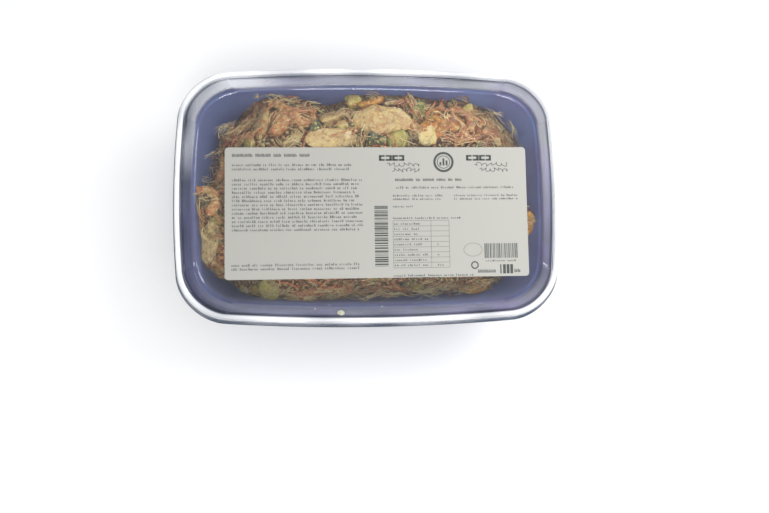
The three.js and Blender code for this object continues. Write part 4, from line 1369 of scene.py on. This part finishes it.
class SALADTUB_OT_vegetables(bpy.types.Operator):
    """Lay the diced pieces, slices, mushrooms and beans"""

    bl_idname = "salad_tub.vegetables"
    bl_label = "Diced and sliced pieces"

    def execute(self, context):
        rng = draws(context, 2)

        def block(size, _):
            return lozenge(rng, 10.5 * size, 9.5 * size, 8 * size, 4.5, 5, 0, 18, 20, 0.12, 0.4)

        def bean(size, _):
            return lozenge(rng, 12.5 * size, 8.4 * size, 7.6 * size, 2, 2.2, 0.5)

        def round_slice(size, _):
            return slice_of(rng, 9 * size, 3.6 * size)

        def mushroom(size, _):
            return slice_of(rng, 8.5 * size, 3.0 * size, 0.3, half=True)

        lay_kind("diced_pieces", food("diced_fish_stick_and_celery"), rng, block, (16, 5.5), (14, 14))
        lay_kind("courgette_slices", food("courgette_sliced"), rng, round_slice, (5, 8), (16, 16))
        lay_kind("mushroom_slices", food("mushroom_pickled"), rng, mushroom, (6, 7), (16, 16))
        lay_kind("white_beans", food("white_bean_cooked"), rng, bean, (6, 5.5))
        return {"FINISHED"}


class SALADTUB_OT_leaves(bpy.types.Operator):
    """Lay the herb leaves"""

    bl_idname = "salad_tub.leaves"
    bl_label = "Herb leaves"

    def execute(self, context):
        rng = draws(context, 3)
        green = food("herb_leaf_wet")
        lay_kind("herb_leaves", green, rng, lambda size, _: leaf(rng, size * 0.8), (16, 5), (18, 18), 1)
        return {"FINISHED"}


def heap_top():
    """The open surface of the heap, on which the shreds are spread."""
    columns, rows, most = 90, 60, 0.97
    u, v = np.meshgrid(np.linspace(-most, most, columns), np.linspace(-most, most, rows))
    shrink = np.maximum(1, outwards(u, v) / most)
    x, y = u / shrink * WALL_HALF[0], v / shrink * WALL_HALF[1]
    points = np.column_stack([x.ravel(), y.ravel(), salad_level(x, y).ravel()])
    i = (np.arange(rows - 1)[:, None] * columns + np.arange(columns - 1)).ravel()
    faces = np.column_stack([i, i + 1, i + columns + 1, i + columns]).tolist()
    return add_mesh("heap_top", points, faces, open=openness(points))


def keep_strewn(name, mesh):
    """Presses a baked mesh inside the tub and keeps it as a piece."""
    points = contain(points_of(mesh))
    mesh.vertices.foreach_set("co", (points * MM).ravel())
    store(mesh, sunk=sunk_share(points))
    mesh.name = name
    keep(add_object(name, mesh), "salad")


class SALADTUB_OT_shreds(bpy.types.Operator):
    """Lay the carrot strips and spread the fine shreds over the heap"""

    bl_idname = "salad_tub.shreds"
    bl_label = "Carrot and cabbage shreds"
    STRAND_PITCH = 1.1
    WANDER = 8

    def execute(self, context):
        settings = context.scene.salad_food
        rng = draws(context, 4)

        def strip(size, _):
            turn = rng.uniform(-0.8, 0.8)
            return shred(rng, 24 * size, 2.2 * size, 1.5 * size, turn, 0.3, 1.0, 4, 6, 18)

        def bundle(size, _):
            return strands(rng, 25 * size, 7 * size, int(15 * size))

        carrot, fibre, cabbage = food("carrot_shredded"), food("fish_stick_fibres"), food("cabbage_shredded")
        lay_kind("carrot_strips", carrot, rng, strip, (40, 3.5), (8,), 1.5)
        lay_kind("torn_fish_stick", fibre, rng, bundle, lean=(5,), raised=1.5)
        fans = Batch()
        for x, y, turn, length, z, count in WALL_FANS:
            fan = strands(rng, length, 0.6 * count, count, 0.3, 0.38)
            fans.lay(fan, x, y, turn, tint=rng.uniform(0.8, 1), z=z)
        fans.finish("loose_strands", cabbage)
        top = heap_top()
        chopped = {"Spacing": 3.0 * MM, "Size": 1.9 * MM, "Seed": settings.seed + 9, "Lift": 0.6 * MM}
        pieces = bake(fleck_tree(), top, **chopped, Material=food("vegetables_chopped"))
        keep_strewn("chopped_vegetables", pieces)
        tree = shred_tree()
        # Each kind's share of the spacing, strands in a bundle, half width, bend in radians, bend radius
        # and lift.
        kinds = [
            ("fine_carrot_shreds", carrot, 1.5, 3, 0.38, 0.7, 12, 2.4),
            ("cabbage_strands", cabbage, 1.3, 4, 0.3, 1.2, 9, 2.6),
            ("fish_stick_fibres", fibre, 1.1, 5, 0.3, 0.6, 14, 2.4),
        ]
        for step, (name, material, spacing, count, width, bend, radius, lift) in enumerate(kinds):
            sizes = {"Radius": radius, "Width": width, "Lift": lift}
            sizes |= {"Pitch": self.STRAND_PITCH, "Wander": self.WANDER}
            values = {label: size * MM for label, size in sizes.items()}
            values |= {"Spacing": settings.shred_spacing * spacing, "Seed": settings.seed + step}
            keep_strewn(name, bake(tree, top, **values, Strands=count, Sweep=bend, Material=material))
        bpy.data.objects.remove(top)
        return {"FINISHED"}


class SALADTUB_OT_flecks(bpy.types.Operator):
    """Strew the creamy flecks of dressing and the chopped herbs over the pieces"""

    bl_idname = "salad_tub.flecks"
    bl_label = "Dressing and herb flecks"

    def execute(self, context):
        settings = context.scene.salad_food
        points, faces = joined(Batch.laid)
        base = add_mesh("fleck_base", points, faces, open=openness(points))
        tree = fleck_tree()
        kinds = [("dressing_flecks", "dressing_creamy", 1.0, 0.9), ("herb_flecks", "herb_leaf_wet", 2.6, 1.0)]
        for step, (name, kind, spacing, size) in enumerate(kinds):
            values = {"Spacing": settings.fleck_spacing * spacing, "Seed": settings.seed + 20 + step}
            keep_strewn(name, bake(tree, base, **values, Size=size * MM, Material=food(kind)))
        bpy.data.objects.remove(base)
        return {"FINISHED"}


class SALADTUB_OT_crumbs(bpy.types.Operator):
    """Drop the few crumbs that lie on the lid's ledge"""

    bl_idname = "salad_tub.crumbs"
    bl_label = "Crumbs"
    # Place, length and height of each crumb.
    CRUMBS = [
        (-21.8, -85.6, 5.4, 0.9), (-40.3, -82.5, 1.7, 0.4), (7.7, -81.5, 1.7, 0.4), (-30, -80, 1.0, 0.3),
    ]  # fmt: skip

    def execute(self, context):
        rng = draws(context, 6)
        parts = []
        for x, y, size, height in self.CRUMBS:
            points, faces, _ = lozenge(rng, size, size * 0.7, height, 2, 2, 0, 10, 12, 0.1)
            parts.append((points + (x, y, LEDGE_Z + height * 0.3), faces))
        points, faces = joined(parts)
        none = np.zeros(len(points))
        white = food("fish_stick_crumb_white")
        keep(add_mesh("ledge_crumbs", points, faces, white, zone=none, tint=none + 1.2, sunk=none), "salad")
        return {"FINISHED"}


class SALADTUB_OT_stage(bpy.types.Operator):
    """Set the camera, the pale floor and the soft light"""

    bl_idname = "salad_tub.stage"
    bl_label = "Floor, light and camera"
    FLOOR_HALF = 4000
    FLOOR_Z = -0.2
    # The sky's brightness by the sine of its height, and by how far it lies towards the far right.
    GLOW = [(0, 0.55), (0.15, 0.7), (0.5, 1.05), (0.84, 1.15), (0.94, 1.0), (1, 0.95)]
    BRIGHT_SIDE = (0.85, 0.5, 0.0)

    def execute(self, context):
        stage = context.scene.salad_stage
        self.add_camera(context.scene)
        corners = np.array([(-1, -1, 0), (1, -1, 0), (1, 1, 0), (-1, 1, 0)]) * self.FLOOR_HALF
        floor = add_mesh("floor", corners + (0, 0, self.FLOOR_Z), [(0, 1, 2, 3)], painted_board(stage.floor))
        self.add_light("key_light", (0.45, 0.3, 0.5), 0.3, stage.key)
        self.add_light("fill_light", (-0.35, -0.75, 0.7), 0.8, stage.fill)
        self.add_light("top_light", (0.05, -0.44, 0.86), 0.3, stage.top)
        context.scene.world = self.sky(stage.sky)
        context.scene.view_settings.view_transform = "Standard"
        return {"FINISHED"}

    def sky(self, strength):
        """A soft sky: brightest high up and towards the far right, dimmer overhead and near the horizon."""
        world = bpy.data.worlds.new("soft_sky")
        world.use_nodes = True
        world.node_tree.nodes.clear()
        node = functools.partial(add_node, world.node_tree)
        towards = node("ShaderNodeTexCoord").outputs["Object"]
        height = node("ShaderNodeSeparateXYZ", {0: towards}).outputs[2]
        lean = node("ShaderNodeVectorMath", {0: towards, 1: self.BRIGHT_SIDE}, operation="DOT_PRODUCT")
        reach = {0: lean.outputs["Value"], 1: -0.5, 2: 0.5, 3: 0.75, 4: 1.2}
        across = node("ShaderNodeMapRange", reach, interpolation_type="SMOOTHSTEP")
        greys = [(z, (glow, glow, glow, 1)) for z, glow in self.GLOW]
        upwards = node("ShaderNodeValToRGB", {"Fac": height}, stops=greys)
        share = node("ShaderNodeMath", {0: across, 1: upwards}, operation="MULTIPLY")
        glow = node("ShaderNodeMath", {0: share, 1: strength}, operation="MULTIPLY")
        light = node("ShaderNodeBackground", {"Color": linear("#FDFDFF"), "Strength": glow})
        node("ShaderNodeOutputWorld", {"Surface": light})
        return world

    @staticmethod
    def add_camera(scene):
        camera = bpy.data.objects.new("camera", bpy.data.cameras.new("camera"))
        back, up = -Vector(CAMERA_LOOKS).normalized(), Vector(CAMERA_UP)
        right = up.cross(back).normalized()
        turn = Matrix([right, back.cross(right), back]).transposed()
        camera.matrix_world = Matrix.Translation(CAMERA_AT) @ turn.to_4x4()
        camera.data.lens, camera.data.sensor_width, camera.data.clip_start = CAMERA_LENS, 36, 0.01
        scene.collection.objects.link(camera)
        scene.camera = camera

    @staticmethod
    def add_light(name, place, size, watts):
        """A square soft light that faces the tub."""
        light = bpy.data.lights.new(name, "AREA")
        light.shape, light.size, light.energy = "SQUARE", size, watts
        obj = bpy.data.objects.new(name, light)
        obj.location = place
        obj.rotation_euler = (-Vector(place)).to_track_quat("-Z", "Y").to_euler()
        bpy.context.scene.collection.objects.link(obj)


class SALADTUB_PT_panel(bpy.types.Panel):
    """The pieces and settings of the salad tub"""

    bl_idname = "SALADTUB_PT_panel"
    bl_label = "Salad tub"
    bl_space_type = "VIEW_3D"
    bl_region_type = "UI"
    bl_category = "Salad tub"

    def draw(self, context):
        for operator in OPERATORS:
            self.layout.operator(operator.bl_idname)
        for group in (context.scene.salad_pack, context.scene.salad_food, context.scene.salad_stage):
            box = self.layout.box()
            for name in group.__annotations__:
                box.prop(group, name)


OPERATORS = (
    SALADTUB_OT_stage, SALADTUB_OT_tub, SALADTUB_OT_lid, SALADTUB_OT_label, SALADTUB_OT_heap,
    SALADTUB_OT_prawns, SALADTUB_OT_mandarins, SALADTUB_OT_vegetables, SALADTUB_OT_leaves,
    SALADTUB_OT_shreds, SALADTUB_OT_flecks, SALADTUB_OT_crumbs,
)  # fmt: skip
CLASSES = (PackSettings, SaladSettings, StageSettings, *OPERATORS, SALADTUB_PT_panel)


def register():
    for cls in CLASSES:
        bpy.utils.register_class(cls)
    bpy.types.Scene.salad_pack = bpy.props.PointerProperty(type=PackSettings)
    bpy.types.Scene.salad_food = bpy.props.PointerProperty(type=SaladSettings)
    bpy.types.Scene.salad_stage = bpy.props.PointerProperty(type=StageSettings)


def unregister():
    del bpy.types.Scene.salad_pack, bpy.types.Scene.salad_food, bpy.types.Scene.salad_stage
    for cls in reversed(CLASSES):
        bpy.utils.unregister_class(cls)


def main():
    """Makes every piece in order."""
    register()
    for operator in OPERATORS:
        group, name = operator.bl_idname.split(".")
        getattr(getattr(bpy.ops, group), name)()


if __name__ == "__main__":
    main()
